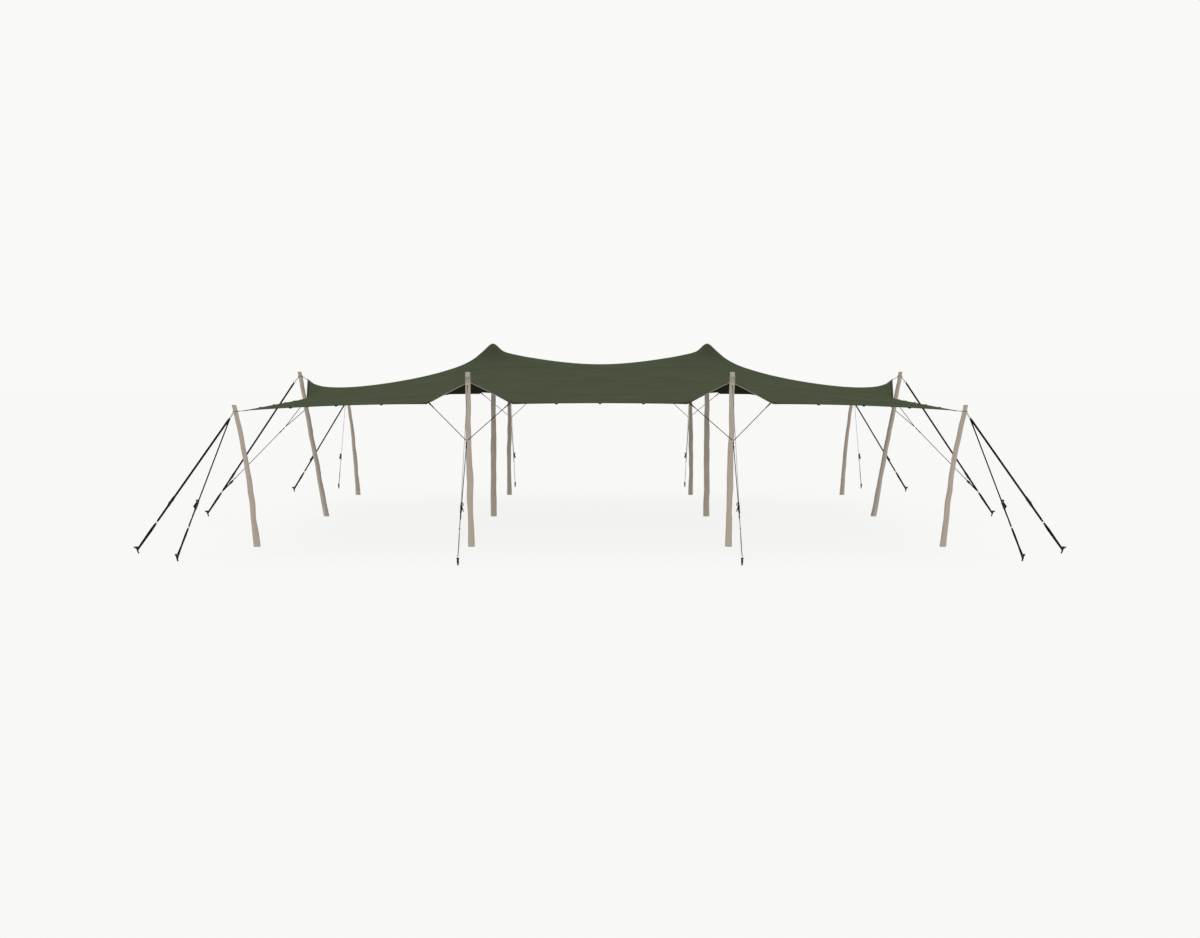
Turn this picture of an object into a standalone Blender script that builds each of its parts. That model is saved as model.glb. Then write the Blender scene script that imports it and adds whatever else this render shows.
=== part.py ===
"""Stretch tent: one stretched canopy on twelve timber poles, held by fourteen ratchet straps.

Frame: metres, +Z up, origin on the ground at the middle of the footprint. The front is
-Y and the left is -X. The canopy hangs from two king poles inside and from ten leaning
poles round its edge. A rope at the head of each leaning pole ties the canopy's tip to a
ring, and the straps run from the rings to stakes in the ground.
"""
import math

import bmesh
import bpy
import numpy as np
from mathutils import Matrix, Vector
from mathutils.bvhtree import BVHTree

# Plan of the poles: distances of their feet from the middle of the tent.
KING_X = 2.18
END_ROW_Y = 5.28
CORNER_X = 5.82
SIDE_X = 5.61

# Heights of the poles, and how far each top leans out past its foot.
KING_TOP = 3.53
SIDE_TOP = 2.96
CORNER_TOP = 2.41
SIDE_LEAN = 0.52
END_LEAN = 0.48
CORNER_LEAN = 0.285
CORNER_BOW = 0.037
END_BOW = 0.012

# Pole timber: the radius at the foot, at even steps up, and at the top.
POLE_SIDES = 12
KING_RADII = (0.065, 0.057, 0.058, 0.050, 0.048, 0.047)
SIDE_RADII = (0.059, 0.048, 0.047, 0.047, 0.043, 0.040)
END_RADII = (0.058, 0.046, 0.056, 0.047, 0.043, 0.040)
CORNER_RADII = (0.058, 0.046, 0.046, 0.041, 0.040, 0.037)

# Domed head that spreads the load of the canopy on each king pole.
HEAD_HEIGHT = 0.12
HEAD_RADIUS = 0.12
HEAD_FLAT_RADIUS = 0.045
HEAD_SHOULDER = 0.085
HEAD_RIM = 0.012

# Canopy. Its lines run closer together round the king poles and the gables.
CLOTH = 0.008
TIP_BELOW_TOP = 0.16
CORNER_BELOW_TOP = 0.10
EDGE_ABOVE_CORNER = 0.11
TIP_HEIGHT = SIDE_TOP - TIP_BELOW_TOP
CORNER_HEIGHT = CORNER_TOP - CORNER_BELOW_TOP
EDGE_HEIGHT = CORNER_HEIGHT + EDGE_ABOVE_CORNER
EDGE_ARCH = 0.015
TIP_BACK = 0.14
CORNER_BACK = 0.12
GABLE_HALF = 0.72
GABLE_STEP = 0.115
EDGE_SAG = 0.031
EDGE_FADE = 4
EDGE_LINE = 0.20
LOOP_PITCH = 0.745
PEAK_CAP = 0.05
PEAK_BROW = 0.13
PEAK_RIM = 0.25
PEAK_STEPS = (PEAK_CAP, PEAK_BROW, PEAK_RIM, 0.45)
PEAK_FLAT = 0.071
PEAK_FALL = 0.90
RIDGE_PULL = 4.8
RIDGE_WIDTH = 1.5

# Ropes, rings and straps.
GAP = 0.0003
TOUCH_RINGS = 16
TOUCH_SPOKES = 64
ROPE_RADIUS = 0.008
ROPE_SIDES = 8
WRAP_HEIGHT = 0.055
WRAP_THICK = 0.018
WRAP_LAP = 0.45
WRAP_ABOVE_TIP = 0.065
WRAP_AT_CORNER = -0.01
RING_OUT = 0.112
RING_DROP = 0.11
CORNER_RING_OUT = 0.100
CORNER_RING_DROP = 0.10
RING_RADIUS = 0.024
RING_WIRE = 0.006
RING_SIDES = 12
WIRE_SIDES = 4
STRAP_WIDTH = 0.035
STRAP_THICK = 0.004
EYE_WIDTH = 0.026
EYE_THICK = 0.007
EYE_LENGTH = 0.09
EYE_LAP = 0.6
EYE_STEPS = 8

# Ratchet on each strap, and the hook and sling below it.
RATCHET_HEIGHT = 0.915
RATCHET_LENGTH = 0.20
RATCHET_WIDTH = 0.048
RATCHET_DEPTH = 0.036
RATCHET_PLATE = 0.005
RATCHET_FLOOR = 0.007
ROLL_SHARE = 0.15
ROLL_RADIUS = 0.024
HANDLE_LENGTH = 0.115
HANDLE_THICK = 0.008
GRIP_RADIUS = 0.009
GRIP_SIDES = 6
HOOK_HEIGHT = 0.50
SLING_WIDTH = 0.045
SLING_BAR = 0.006
SLING_LAP = 0.020
EASE = 0.001

# Stakes: how far past the foot of their pole they stand, and the bar above the ground.
CORNER_STAKE_PAST_END = (0.80, 1.93)
CORNER_STAKE_PAST_SIDE = (1.72, 0.94)
SIDE_STAKE_OUT = 2.42
STAKE_HEIGHT = 0.13
STAKE_RADIUS = 0.016
STAKE_SIDES = 8
STAKE_LEAN = 0.32
STAKE_HEAD_RADIUS = 0.030
STAKE_HEAD_THICK = 0.014
SLING_AT_STAKE = 0.060

# Bridles: a V of rope from the two foot points of each gable, and its tail to the hook.
BRIDLE_RADIUS = 0.007
BRIDLE_HEIGHT = 1.83
BRIDLE_INSET = 0.025
KNOT_HALF = 0.014
TENSIONER_HEIGHT = 0.745
TENSIONER_LENGTH = 0.11
TENSIONER_WIDTH = 0.042

OLIVE = (0.070, 0.085, 0.050, 1.0)
TIMBER = (0.42, 0.35, 0.28, 1.0)
ROPE = (0.55, 0.53, 0.48, 1.0)
WEBBING = (0.010, 0.010, 0.011, 1.0)
STEEL = (0.10, 0.10, 0.105, 1.0)
RUBBER = (0.020, 0.020, 0.020, 1.0)


def clear_scene():
    for old in list(bpy.data.objects):
        bpy.data.objects.remove(old, do_unlink=True)


def new_collection(name):
    made = bpy.data.collections.new(name)
    bpy.context.scene.collection.children.link(made)
    return made


def new_material(name, colour, roughness, metallic):
    made = bpy.data.materials.new(name)
    made.use_nodes = True
    shader = made.node_tree.nodes["Principled BSDF"]
    shader.inputs["Base Color"].default_value = colour
    shader.inputs["Roughness"].default_value = roughness
    shader.inputs["Metallic"].default_value = metallic
    return made


def evaluated_copy(obj):
    """The mesh that an object's modifiers give, welded and facing out."""
    graph = bpy.context.evaluated_depsgraph_get()
    mesh = bpy.data.meshes.new_from_object(obj.evaluated_get(graph))
    work = bmesh.new()
    work.from_mesh(mesh)
    bmesh.ops.remove_doubles(work, verts=work.verts, dist=0.000001)
    bmesh.ops.recalc_face_normals(work, faces=work.faces)
    work.to_mesh(mesh)
    work.free()
    return mesh


def scratch_object(mesh):
    obj = bpy.data.objects.new("scratch", mesh)
    bpy.context.scene.collection.objects.link(obj)
    return obj


def finished(name, mesh, material):
    """The named sub-part: one object with its own material, in the tent's collection."""
    mesh.materials.clear()
    mesh.materials.append(material)
    mesh.shade_flat()
    mesh.name = name
    obj = bpy.data.objects.new(name, mesh)
    tent.objects.link(obj)
    return obj


def turned(profile, sides):
    """A profile of (radius, height) points turned round the Z axis."""
    mesh = bpy.data.meshes.new("turned")
    closed = profile[0][0] > 0.0
    points = [(radius, 0.0, height) for radius, height in profile]
    edges = [(i, i + 1) for i in range(len(points) - 1)]
    if closed:
        edges.append((len(points) - 1, 0))
    mesh.from_pydata(points, edges, [])
    obj = scratch_object(mesh)
    screw = obj.modifiers.new("turn", "SCREW")
    screw.steps = sides
    screw.render_steps = sides
    screw.use_merge_vertices = True
    screw.merge_threshold = 0.00001
    made = evaluated_copy(obj)
    bpy.data.objects.remove(obj, do_unlink=True)
    return made


def solid(work):
    """A mesh from a bmesh, which is freed."""
    mesh = bpy.data.meshes.new("solid")
    bmesh.ops.recalc_face_normals(work, faces=work.faces)
    work.to_mesh(mesh)
    work.free()
    return mesh


def box(low, high, place):
    """A box between two corners given in the frame of place."""
    low, high = Vector(low), Vector(high)
    size = high - low
    work = bmesh.new()
    grow = Matrix.Translation((low + high) / 2) @ Matrix.Diagonal((size.x, size.y, size.z, 1))
    bmesh.ops.create_cube(work, size=1.0, matrix=place @ grow)
    return solid(work)


def rod(start, end, radius, sides):
    """A round bar between two points."""
    start, end = Vector(start), Vector(end)
    along = end - start
    turn = along.to_track_quat("Z", "Y").to_matrix().to_4x4()
    place = Matrix.Translation((start + end) / 2) @ turn
    work = bmesh.new()
    bmesh.ops.create_cone(work, cap_ends=True, segments=sides, radius1=radius,
                          radius2=radius, depth=along.length, matrix=place)
    return solid(work)


def wire_ring(centre, axis, radius, wire):
    """A ring of round wire."""
    turn = Vector(axis).to_track_quat("Z", "Y").to_matrix().to_4x4()
    bpy.ops.mesh.primitive_torus_add(major_segments=RING_SIDES, minor_segments=WIRE_SIDES,
                                     major_radius=radius, minor_radius=wire)
    obj = bpy.context.object
    mesh = evaluated_copy(obj)
    mesh.transform(Matrix.Translation(centre) @ turn)
    bpy.data.objects.remove(obj, do_unlink=True)
    return mesh


def united(meshes):
    """One closed mesh from overlapping ones."""
    others = bpy.data.collections.new("cutters")
    for mesh in meshes[1:]:
        piece = bpy.data.objects.new("piece", mesh)
        piece.display_type = "WIRE"
        piece.hide_render = True
        others.objects.link(piece)
    bpy.context.scene.collection.children.link(others)
    base = scratch_object(meshes[0])
    joint = base.modifiers.new("union", "BOOLEAN")
    joint.operation = "UNION"
    joint.solver = "EXACT"
    joint.operand_type = "COLLECTION"
    joint.collection = others
    made = evaluated_copy(base)
    for piece in list(others.objects) + [base]:
        bpy.data.objects.remove(piece, do_unlink=True)
    bpy.data.collections.remove(others)
    return made


class Post:
    """A bar standing on the ground, with level rings that follow its lean and bow."""

    def __init__(self, foot, top, height, radii, bow, sides=POLE_SIDES):
        self.foot = Vector((foot[0], foot[1]))
        self.top = Vector((top[0], top[1]))
        self.bow = Vector(bow)
        self.height = height
        self.radii = radii
        self.sides = sides
        self.levels = [height * i / (len(radii) - 1) for i in range(len(radii))]

    def ring_centre(self, level):
        share = level / self.height
        return self.foot.lerp(self.top, share) + self.bow * math.sin(math.pi * share)

    def centre(self, z):
        """The middle of the bar at a height, straight between its rings."""
        for low, high in zip(self.levels, self.levels[1:]):
            if z <= high or high == self.levels[-1]:
                share = (z - low) / (high - low)
                return self.ring_centre(low).lerp(self.ring_centre(high), share)

    def axis_point(self, z):
        x, y = self.centre(z)
        return Vector((x, y, z))

    def radius(self, z):
        return float(np.interp(z, self.levels, self.radii))

    def follow(self, mesh):
        """Leans a mesh that was made round the Z axis, level by level."""
        for vertex in mesh.vertices:
            x, y = self.centre(vertex.co.z)
            vertex.co.x += x
            vertex.co.y += y
        return mesh

    def bar(self):
        side = [(self.radius(z), z) for z in self.levels]
        return self.follow(turned([(0.0, 0.0)] + side + [(0.0, self.height)], self.sides))

    def collar(self, z, height, thick):
        """A band round the bar, clear of it by the gap."""
        low = z - height / 2
        high = z + height / 2
        inner = max(self.radius(low), self.radius(high)) + GAP / math.cos(math.pi / self.sides)
        outer = inner + thick
        corners = [(inner, low), (outer, low), (outer, high), (inner, high)]
        return self.follow(turned(corners, self.sides))


def edge_pole(sx, sy):
    """The leaning pole of a place on the edge: sx and sy say which side, 0 is the middle."""
    if sx and sy:
        foot = (sx * CORNER_X, sy * END_ROW_Y)
        top = (foot[0] + sx * CORNER_LEAN, foot[1] + sy * CORNER_LEAN)
        bow = (-sx * CORNER_BOW, -sy * CORNER_BOW)
        return Post(foot, top, CORNER_TOP, CORNER_RADII, bow)
    foot = (sx * SIDE_X, 0.0)
    top = (foot[0] + sx * SIDE_LEAN, 0.0)
    return Post(foot, top, SIDE_TOP, SIDE_RADII, (0.0, 0.0))


def end_pole(sx, sy):
    """A pole in the front or back row, in line with a king pole."""
    foot = (sx * KING_X, sy * END_ROW_Y)
    top = (foot[0], foot[1] + sy * END_LEAN)
    bow = (sx * END_BOW, 0.0)
    return Post(foot, top, SIDE_TOP, END_RADII, bow)


def king_pole(sx):
    foot = (sx * KING_X, 0.0)
    height = KING_TOP - HEAD_HEIGHT - GAP
    return Post(foot, foot, height, KING_RADII, (0.0, 0.0))


def king_head(sx):
    """A dome with a small flat on top, standing on the pole's top."""
    base = KING_TOP - HEAD_HEIGHT
    shoulder = KING_TOP - HEAD_SHOULDER
    profile = [(0.0, base), (KING_RADII[-1], base), (HEAD_RADIUS, shoulder - HEAD_RIM),
               (HEAD_RADIUS, shoulder), (HEAD_FLAT_RADIUS, KING_TOP), (0.0, KING_TOP)]
    mesh = turned(profile, POLE_SIDES)
    mesh.transform(Matrix.Translation((sx * KING_X, 0.0, 0.0)))
    return mesh


def peak_drop(distance):
    """How far the canopy lies below its peak, close to a king pole."""
    if distance <= PEAK_FLAT:
        return 0.0
    if distance <= PEAK_BROW:
        return HEAD_SHOULDER * (distance - PEAK_CAP) / (PEAK_BROW - PEAK_CAP)
    return HEAD_SHOULDER + PEAK_FALL * (distance - PEAK_BROW)


def even_stops(start, end, pitch):
    """Points after start up to end, about a pitch apart."""
    count = max(1, round((end - start) / pitch))
    return [start + (end - start) * i / count for i in range(1, count + 1)]


class Canopy:
    """The canopy's underside, as a grid of lines that the edges and peaks shape."""

    def __init__(self):
        corner = edge_pole(1, 1).centre(CORNER_HEIGHT)
        self.corner_x = corner.x - CORNER_BACK
        self.corner_y = corner.y - CORNER_BACK
        self.side_tip = edge_pole(1, 0).centre(TIP_HEIGHT).x - TIP_BACK
        self.end_tip = end_pole(1, 1).centre(TIP_HEIGHT).y - TIP_BACK
        self.xs = self.mirrored(self.x_lines())
        self.ys = self.mirrored(self.y_lines())
        self.heights = self.stretch()

    @staticmethod
    def mirrored(lines):
        return np.array([-x for x in reversed(lines)] + [0.0] + list(lines))

    def x_lines(self):
        inner = even_stops(0.0, KING_X - GABLE_HALF, LOOP_PITCH)
        left = [KING_X - step for step in reversed(PEAK_STEPS)]
        right = [KING_X + step for step in PEAK_STEPS]
        outer = self.run_of_stops(KING_X + GABLE_HALF, self.corner_x)
        return inner + left + [KING_X] + right + [KING_X + GABLE_HALF] + outer

    def y_lines(self):
        return list(PEAK_STEPS) + [GABLE_HALF] + self.run_of_stops(GABLE_HALF, self.corner_y)

    @staticmethod
    def run_of_stops(start, end):
        """Even stops out to an edge, with one more close to it."""
        stops = even_stops(start, end, LOOP_PITCH)
        return stops[:-1] + [end - EDGE_LINE, end]

    def side_edge(self, y):
        """Reach of the left and right edges, and their height, at a distance from the middle."""
        y = abs(y)
        foot = self.side_tip - GABLE_STEP
        if y <= GABLE_HALF:
            share = y / GABLE_HALF
            return (self.side_tip + (foot - self.side_tip) * share,
                    TIP_HEIGHT + (EDGE_HEIGHT - TIP_HEIGHT) * share)
        return self.run_to_corner(y, GABLE_HALF, self.corner_y, foot, self.corner_x)

    def end_edge(self, x):
        """Reach of the front and back edges, and their height, at a distance from the middle."""
        x = abs(x)
        foot = self.end_tip - GABLE_STEP
        away = abs(x - KING_X)
        if away <= GABLE_HALF:
            share = away / GABLE_HALF
            return (self.end_tip + (foot - self.end_tip) * share,
                    TIP_HEIGHT + (EDGE_HEIGHT - TIP_HEIGHT) * share)
        if x < KING_X:
            half = KING_X - GABLE_HALF
            rise = 1.0 - (x / half) ** 2
            return foot - EDGE_SAG * 2 * half * rise, EDGE_HEIGHT + EDGE_ARCH * rise
        return self.run_to_corner(x, KING_X + GABLE_HALF, self.corner_x, foot, self.corner_y)

    @staticmethod
    def run_to_corner(at, start, end, reach_start, reach_end):
        share = (at - start) / (end - start)
        bow = EDGE_SAG * (end - start) * 4 * share * (1 - share)
        reach = reach_start + (reach_end - reach_start) * share - bow
        return reach, EDGE_HEIGHT + (CORNER_HEIGHT - EDGE_HEIGHT) * share ** 2

    def fixed_height(self, i, j):
        """The height where the canopy is held, or None where it is free."""
        x, y = self.xs[i], self.ys[j]
        if i in (0, len(self.xs) - 1):
            return self.side_edge(y)[1]
        if j in (0, len(self.ys) - 1):
            return self.end_edge(x)[1]
        span_x = abs(abs(x) - KING_X)
        if span_x <= PEAK_RIM + 1e-9 and abs(y) <= PEAK_RIM + 1e-9:
            return KING_TOP + GAP - peak_drop(math.hypot(span_x, y))
        return None

    @staticmethod
    def ridge_pull(x, y):
        """Extra pull along the ridge between the kings, strongest close to them."""
        return RIDGE_PULL * (x / KING_X) ** 2 * math.exp(-(y / RIDGE_WIDTH) ** 2)

    def stretch(self):
        """Heights where the cloth's pull balances at each crossing."""
        columns, rows = len(self.xs), len(self.ys)
        pull = np.zeros((columns * rows, columns * rows))
        load = np.zeros(columns * rows)
        for i in range(columns):
            for j in range(rows):
                own = i * rows + j
                held = self.fixed_height(i, j)
                if held is not None:
                    pull[own, own] = 1.0
                    load[own] = held
                    continue
                wide = (self.xs[i + 1] - self.xs[i - 1]) / 2
                deep = (self.ys[j + 1] - self.ys[j - 1]) / 2
                for di, dj in ((1, 0), (-1, 0), (0, 1), (0, -1)):
                    step = abs(self.xs[i + di] - self.xs[i]) + abs(self.ys[j + dj] - self.ys[j])
                    share = (deep if di else wide) / step
                    middle = abs(self.xs[i] + self.xs[i + di]) / 2
                    if di and middle < KING_X:
                        share *= 1.0 + self.ridge_pull(middle, self.ys[j])
                    pull[own, own] += share
                    pull[own, (i + di) * rows + j + dj] -= share
        return np.linalg.solve(pull, load).reshape(columns, rows)

    def place(self, i, j):
        """Where a crossing lies: the edge's own line at the edge, fading to the even grid inside."""
        x, y = self.xs[i], self.ys[j]
        past_x = self.side_edge(y)[0] - self.corner_x
        past_y = self.end_edge(x)[0] - self.corner_y
        past_x *= (abs(x) / self.corner_x) ** EDGE_FADE
        past_y *= (abs(y) / self.corner_y) ** EDGE_FADE
        return (x + math.copysign(1.0, x) * past_x, y + math.copysign(1.0, y) * past_y,
                float(self.heights[i, j]))

    def cloth(self):
        """The grid, thickened upward."""
        columns, rows = len(self.xs), len(self.ys)
        points = [self.place(i, j) for i in range(columns) for j in range(rows)]
        faces = []
        for i in range(columns - 1):
            for j in range(rows - 1):
                own = i * rows + j
                faces.append((own, own + rows, own + rows + 1, own + 1))
        mesh = bpy.data.meshes.new("cloth")
        mesh.from_pydata(points, [], faces)
        obj = scratch_object(mesh)
        shell = obj.modifiers.new("thickness", "SOLIDIFY")
        shell.thickness = CLOTH
        shell.offset = 1.0
        made = evaluated_copy(obj)
        bpy.data.objects.remove(obj, do_unlink=True)
        return made


def underside(tree, x, y):
    """The point of the canopy's underside above a place on the ground."""
    return tree.ray_cast(Vector((x, y, 0.0)), Vector((0.0, 0.0, 1.0)))[0]


def touch_distance(tree, start, towards, across):
    """How far a bar can run from a point before any part of its end meets a surface."""
    nearest = (towards - start).length
    direction = (towards - start).normalized()
    for offset in across:
        hit = tree.ray_cast(start + offset, direction)
        if hit[0] is not None:
            nearest = min(nearest, hit[3])
    return nearest - GAP


def round_offsets(direction, radius):
    """Points spread closely over the end of a round bar."""
    turn = direction.to_track_quat("Z", "Y").to_matrix()
    offsets = [Vector((0.0, 0.0, 0.0))]
    for ring in range(1, TOUCH_RINGS + 1):
        for step in range(TOUCH_SPOKES):
            angle = math.tau * step / TOUCH_SPOKES
            spoke = turn @ Vector((math.cos(angle), math.sin(angle), 0.0))
            offsets.append(spoke * radius * ring / TOUCH_RINGS)
    return offsets


def rod_to_surface(tree, start, towards, radius):
    """A round bar that stops the gap short of a surface."""
    start, towards = Vector(start), Vector(towards)
    direction = (towards - start).normalized()
    reach = touch_distance(tree, start, towards, round_offsets(direction, radius))
    return rod(start, start + direction * reach, radius, ROPE_SIDES)


def tree_of(mesh):
    work = bmesh.new()
    work.from_mesh(mesh)
    bmesh.ops.triangulate(work, faces=work.faces)
    made = BVHTree.FromBMesh(work)
    work.free()
    return made


def head_rope(post, wrap_z, out, ring_centre, ring_axis, tip, canopy_tree):
    """Rope wrapped round a pole's head, out to a ring and in to the canopy's tip."""
    level = post.axis_point(wrap_z)
    in_wrap = out * (post.radius(wrap_z) + WRAP_THICK * WRAP_LAP)
    outer, inner = level + in_wrap, level - in_wrap
    near = ring_centre + (outer - ring_centre).normalized() * RING_RADIUS
    return united([
        post.collar(wrap_z, WRAP_HEIGHT, WRAP_THICK),
        rod(outer, near, ROPE_RADIUS, ROPE_SIDES),
        wire_ring(ring_centre, ring_axis, RING_RADIUS, RING_WIRE),
        rod_to_surface(canopy_tree, inner, tip, ROPE_RADIUS)])


def line_frame(start, end):
    """A frame with X down the line, Z square to it in its upright plane, and Y level."""
    along = (end - start).normalized()
    level = Vector((0.0, 0.0, 1.0)).cross(along).normalized()
    up = along.cross(level)
    turn = Matrix((along, level, up)).transposed().to_4x4()
    return Matrix.Translation(start) @ turn


def distance_at_height(start, end, z):
    """How far down a line a height is reached."""
    return (end - start).length * (start.z - z) / (start.z - end.z)


def ratchet(place, at, side):
    """Channel frame, roll of strap, and the closed handle with its grip."""
    half = RATCHET_WIDTH / 2
    inner = half - RATCHET_PLATE
    end = at + RATCHET_LENGTH
    rim, floor = side * RATCHET_DEPTH, -side * RATCHET_FLOOR
    pieces = [box((at, -RATCHET_FLOOR / 2, -inner - EASE), (end, RATCHET_FLOOR / 2, inner + EASE), place)]
    for edge in (-half, inner):
        pieces.append(box((at + EASE, min(rim, floor), edge),
                          (end - EASE, max(rim, floor), edge + RATCHET_PLATE), place))
    roll = at + RATCHET_LENGTH * ROLL_SHARE
    middle = rim / 2
    pieces.append(rod(place @ Vector((roll, middle, EASE - half)),
                      place @ Vector((roll, middle, half - EASE)), ROLL_RADIUS, ROPE_SIDES))
    near, far = rim - side * HANDLE_THICK / 2, rim + side * HANDLE_THICK / 2
    grip = roll + HANDLE_LENGTH
    wide = inner - 2 * EASE
    pieces.append(box((roll, min(near, far), -wide), (grip, max(near, far), wide), place))
    pieces.append(rod(place @ Vector((grip, far, -half - EASE)),
                      place @ Vector((grip, far, half + EASE)), GRIP_RADIUS, GRIP_SIDES))
    return pieces


def sling(place, hook, length, stake):
    """Two runs of webbing from the hook's ring to a band round the stake."""
    inner = STAKE_RADIUS + 3 * GAP
    outer = inner + STRAP_THICK
    wide = SLING_WIDTH / 2
    bar = hook + RING_RADIUS - SLING_LAP
    pieces = [box((bar, -outer - EASE, -wide - EASE), (bar + SLING_BAR, outer + EASE, wide + EASE), place)]
    for low in (-outer, inner):
        pieces.append(box((bar + EASE, low, -wide), (length, low + STRAP_THICK, wide), place))
    pieces.append(stake.collar(SLING_AT_STAKE, SLING_WIDTH, STRAP_THICK + 2 * EASE))
    return pieces


def guy_strap(start, stake, ring_tree, handle_side):
    """A strap from a ring down to a stake, with its ratchet, hook and sling."""
    end = stake.axis_point(SLING_AT_STAKE)
    place = line_frame(start, end)
    length = (end - start).length
    side = 1 if place.col[1].to_3d().dot(handle_side) > 0 else -1
    half = STRAP_WIDTH / 2
    thick = STRAP_THICK / 2
    at = distance_at_height(start, end, RATCHET_HEIGHT)
    hook = distance_at_height(start, end, HOOK_HEIGHT)
    eye = EYE_WIDTH / 2
    offsets = [place.to_3x3() @ Vector((0.0, across * EYE_THICK / 2, step * eye / EYE_STEPS))
               for across in (-1, 0, 1) for step in range(-EYE_STEPS, EYE_STEPS + 1)]
    top = at - touch_distance(ring_tree, place @ Vector((at, 0.0, 0.0)), start, offsets)
    inside = at + RATCHET_LENGTH * ROLL_SHARE
    pieces = [box((top, -EYE_THICK / 2, -eye), (top + EYE_LENGTH, EYE_THICK / 2, eye), place),
              box((top + EYE_LENGTH * EYE_LAP, -thick, -half), (inside, thick, half), place)]
    pieces += ratchet(place, at, side)
    lower = at + RATCHET_LENGTH * (1 - ROLL_SHARE)
    pieces.append(box((lower, -thick, -half), (hook - RING_RADIUS + EASE, thick, half), place))
    pieces.append(wire_ring(place @ Vector((hook, 0.0, 0.0)), place.col[1].to_3d(),
                            RING_RADIUS, RING_WIRE))
    pieces += sling(place, hook, length, stake)
    return united(pieces)


def stake_post(x, y, out):
    top = (x + out.x * STAKE_LEAN * STAKE_HEIGHT, y + out.y * STAKE_LEAN * STAKE_HEIGHT)
    radii = (STAKE_RADIUS, STAKE_RADIUS)
    return Post((x, y), top, STAKE_HEIGHT, radii, (0.0, 0.0), STAKE_SIDES)


def stake_bar(stake):
    """The stake's bar with a wider head."""
    neck = STAKE_HEIGHT - STAKE_HEAD_THICK
    return stake.follow(turned([
        (0.0, 0.0), (STAKE_RADIUS, 0.0), (STAKE_RADIUS, neck), (STAKE_HEAD_RADIUS, neck),
        (STAKE_HEAD_RADIUS, STAKE_HEIGHT), (0.0, STAKE_HEIGHT)], STAKE_SIDES))


def bridle(start, end, feet, canopy_tree, strap_tree):
    """The V below a gable, its tail and its tensioner."""
    middle = (feet[0] + feet[1]) / 2
    hook = start + (end - start).normalized() * distance_at_height(start, end, HOOK_HEIGHT)
    place = line_frame(middle, hook)
    at = distance_at_height(middle, hook, BRIDLE_HEIGHT)
    knot = place @ Vector((at, 0.0, 0.0))
    near, far = at - KNOT_HALF, at + KNOT_HALF
    pieces = [box((near, -KNOT_HALF, -KNOT_HALF), (far, KNOT_HALF, KNOT_HALF), place)]
    pieces += [rod_to_surface(canopy_tree, knot, foot, BRIDLE_RADIUS) for foot in feet]
    pieces.append(rod_to_surface(strap_tree, knot, hook, BRIDLE_RADIUS))
    at = distance_at_height(middle, hook, TENSIONER_HEIGHT)
    half = TENSIONER_WIDTH / 2
    pieces.append(box((at, -half, -half), (at + TENSIONER_LENGTH, half, half), place))
    return united(pieces)


clear_scene()
tent = new_collection("stretch_tent")
MATERIALS = {
    "cloth": new_material("canopy_cloth", OLIVE, 0.85, 0.0),
    "timber": new_material("pole_timber", TIMBER, 0.75, 0.0),
    "rope": new_material("head_rope", ROPE, 0.80, 0.0),
    "webbing": new_material("strap_webbing", WEBBING, 0.70, 0.0),
    "steel": new_material("stake_steel", STEEL, 0.45, 1.0),
    "rubber": new_material("pole_head_rubber", RUBBER, 0.60, 0.0),
}

LEFT_RIGHT = {"left": -1, "right": 1}
FRONT_BACK = {"front": -1, "back": 1}

canopy = Canopy()
canopy_mesh = canopy.cloth()
canopy_tree = tree_of(canopy_mesh)
finished("canopy", canopy_mesh, MATERIALS["cloth"])

for side_name, sx in LEFT_RIGHT.items():
    finished(f"king_pole_{side_name}", king_pole(sx).bar(), MATERIALS["timber"])
    finished(f"king_head_{side_name}", king_head(sx), MATERIALS["rubber"])


def build_edge_place(name, post, out, tip, feet, handle_side):
    """A side or end pole with its rope, strap, stake and bridle."""
    wrap = TIP_HEIGHT + WRAP_ABOVE_TIP
    ring = post.axis_point(wrap) + out * RING_OUT - Vector((0.0, 0.0, RING_DROP))
    level = Vector((0.0, 0.0, 1.0)).cross(out)
    rope = head_rope(post, wrap, out, ring, level, tip, canopy_tree)
    rope_tree = tree_of(rope)
    spot = post.axis_point(0.0) + out * SIDE_STAKE_OUT
    stake = stake_post(spot.x, spot.y, out)
    strap = guy_strap(ring, stake, rope_tree, handle_side)
    strap_tree = tree_of(strap)
    lines = bridle(ring, stake.axis_point(SLING_AT_STAKE), feet, canopy_tree, strap_tree)
    row, hand = name.split("_")
    finished(f"{row}_pole_{hand}", post.bar(), MATERIALS["timber"])
    finished(f"head_rope_{name}", rope, MATERIALS["rope"])
    finished(f"guy_strap_{name}", strap, MATERIALS["webbing"])
    finished(f"stake_{name}", stake_bar(stake), MATERIALS["steel"])
    finished(f"bridle_{name}", lines, MATERIALS["webbing"])


def build_side(side_name, sx):
    reach = canopy.side_edge(GABLE_HALF)[0] - BRIDLE_INSET
    feet = [underside(canopy_tree, sx * reach, sy * GABLE_HALF) for sy in (-1, 1)]
    tip = Vector((sx * canopy.side_tip, 0.0, TIP_HEIGHT))
    build_edge_place(f"side_{side_name}", edge_pole(sx, 0), Vector((sx, 0.0, 0.0)), tip, feet,
                     Vector((0.0, 1.0, 0.0)))


def build_end(end_name, side_name, sx, sy):
    half = GABLE_HALF - BRIDLE_INSET
    reach = canopy.end_edge(KING_X + GABLE_HALF)[0] - BRIDLE_INSET
    feet = [underside(canopy_tree, sx * (KING_X + step), sy * reach) for step in (-half, half)]
    tip = Vector((sx * KING_X, sy * canopy.end_tip, TIP_HEIGHT))
    build_edge_place(f"{end_name}_{side_name}", end_pole(sx, sy), Vector((0.0, sy, 0.0)), tip, feet,
                     Vector((-sx, 0.0, 0.0)))


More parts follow.
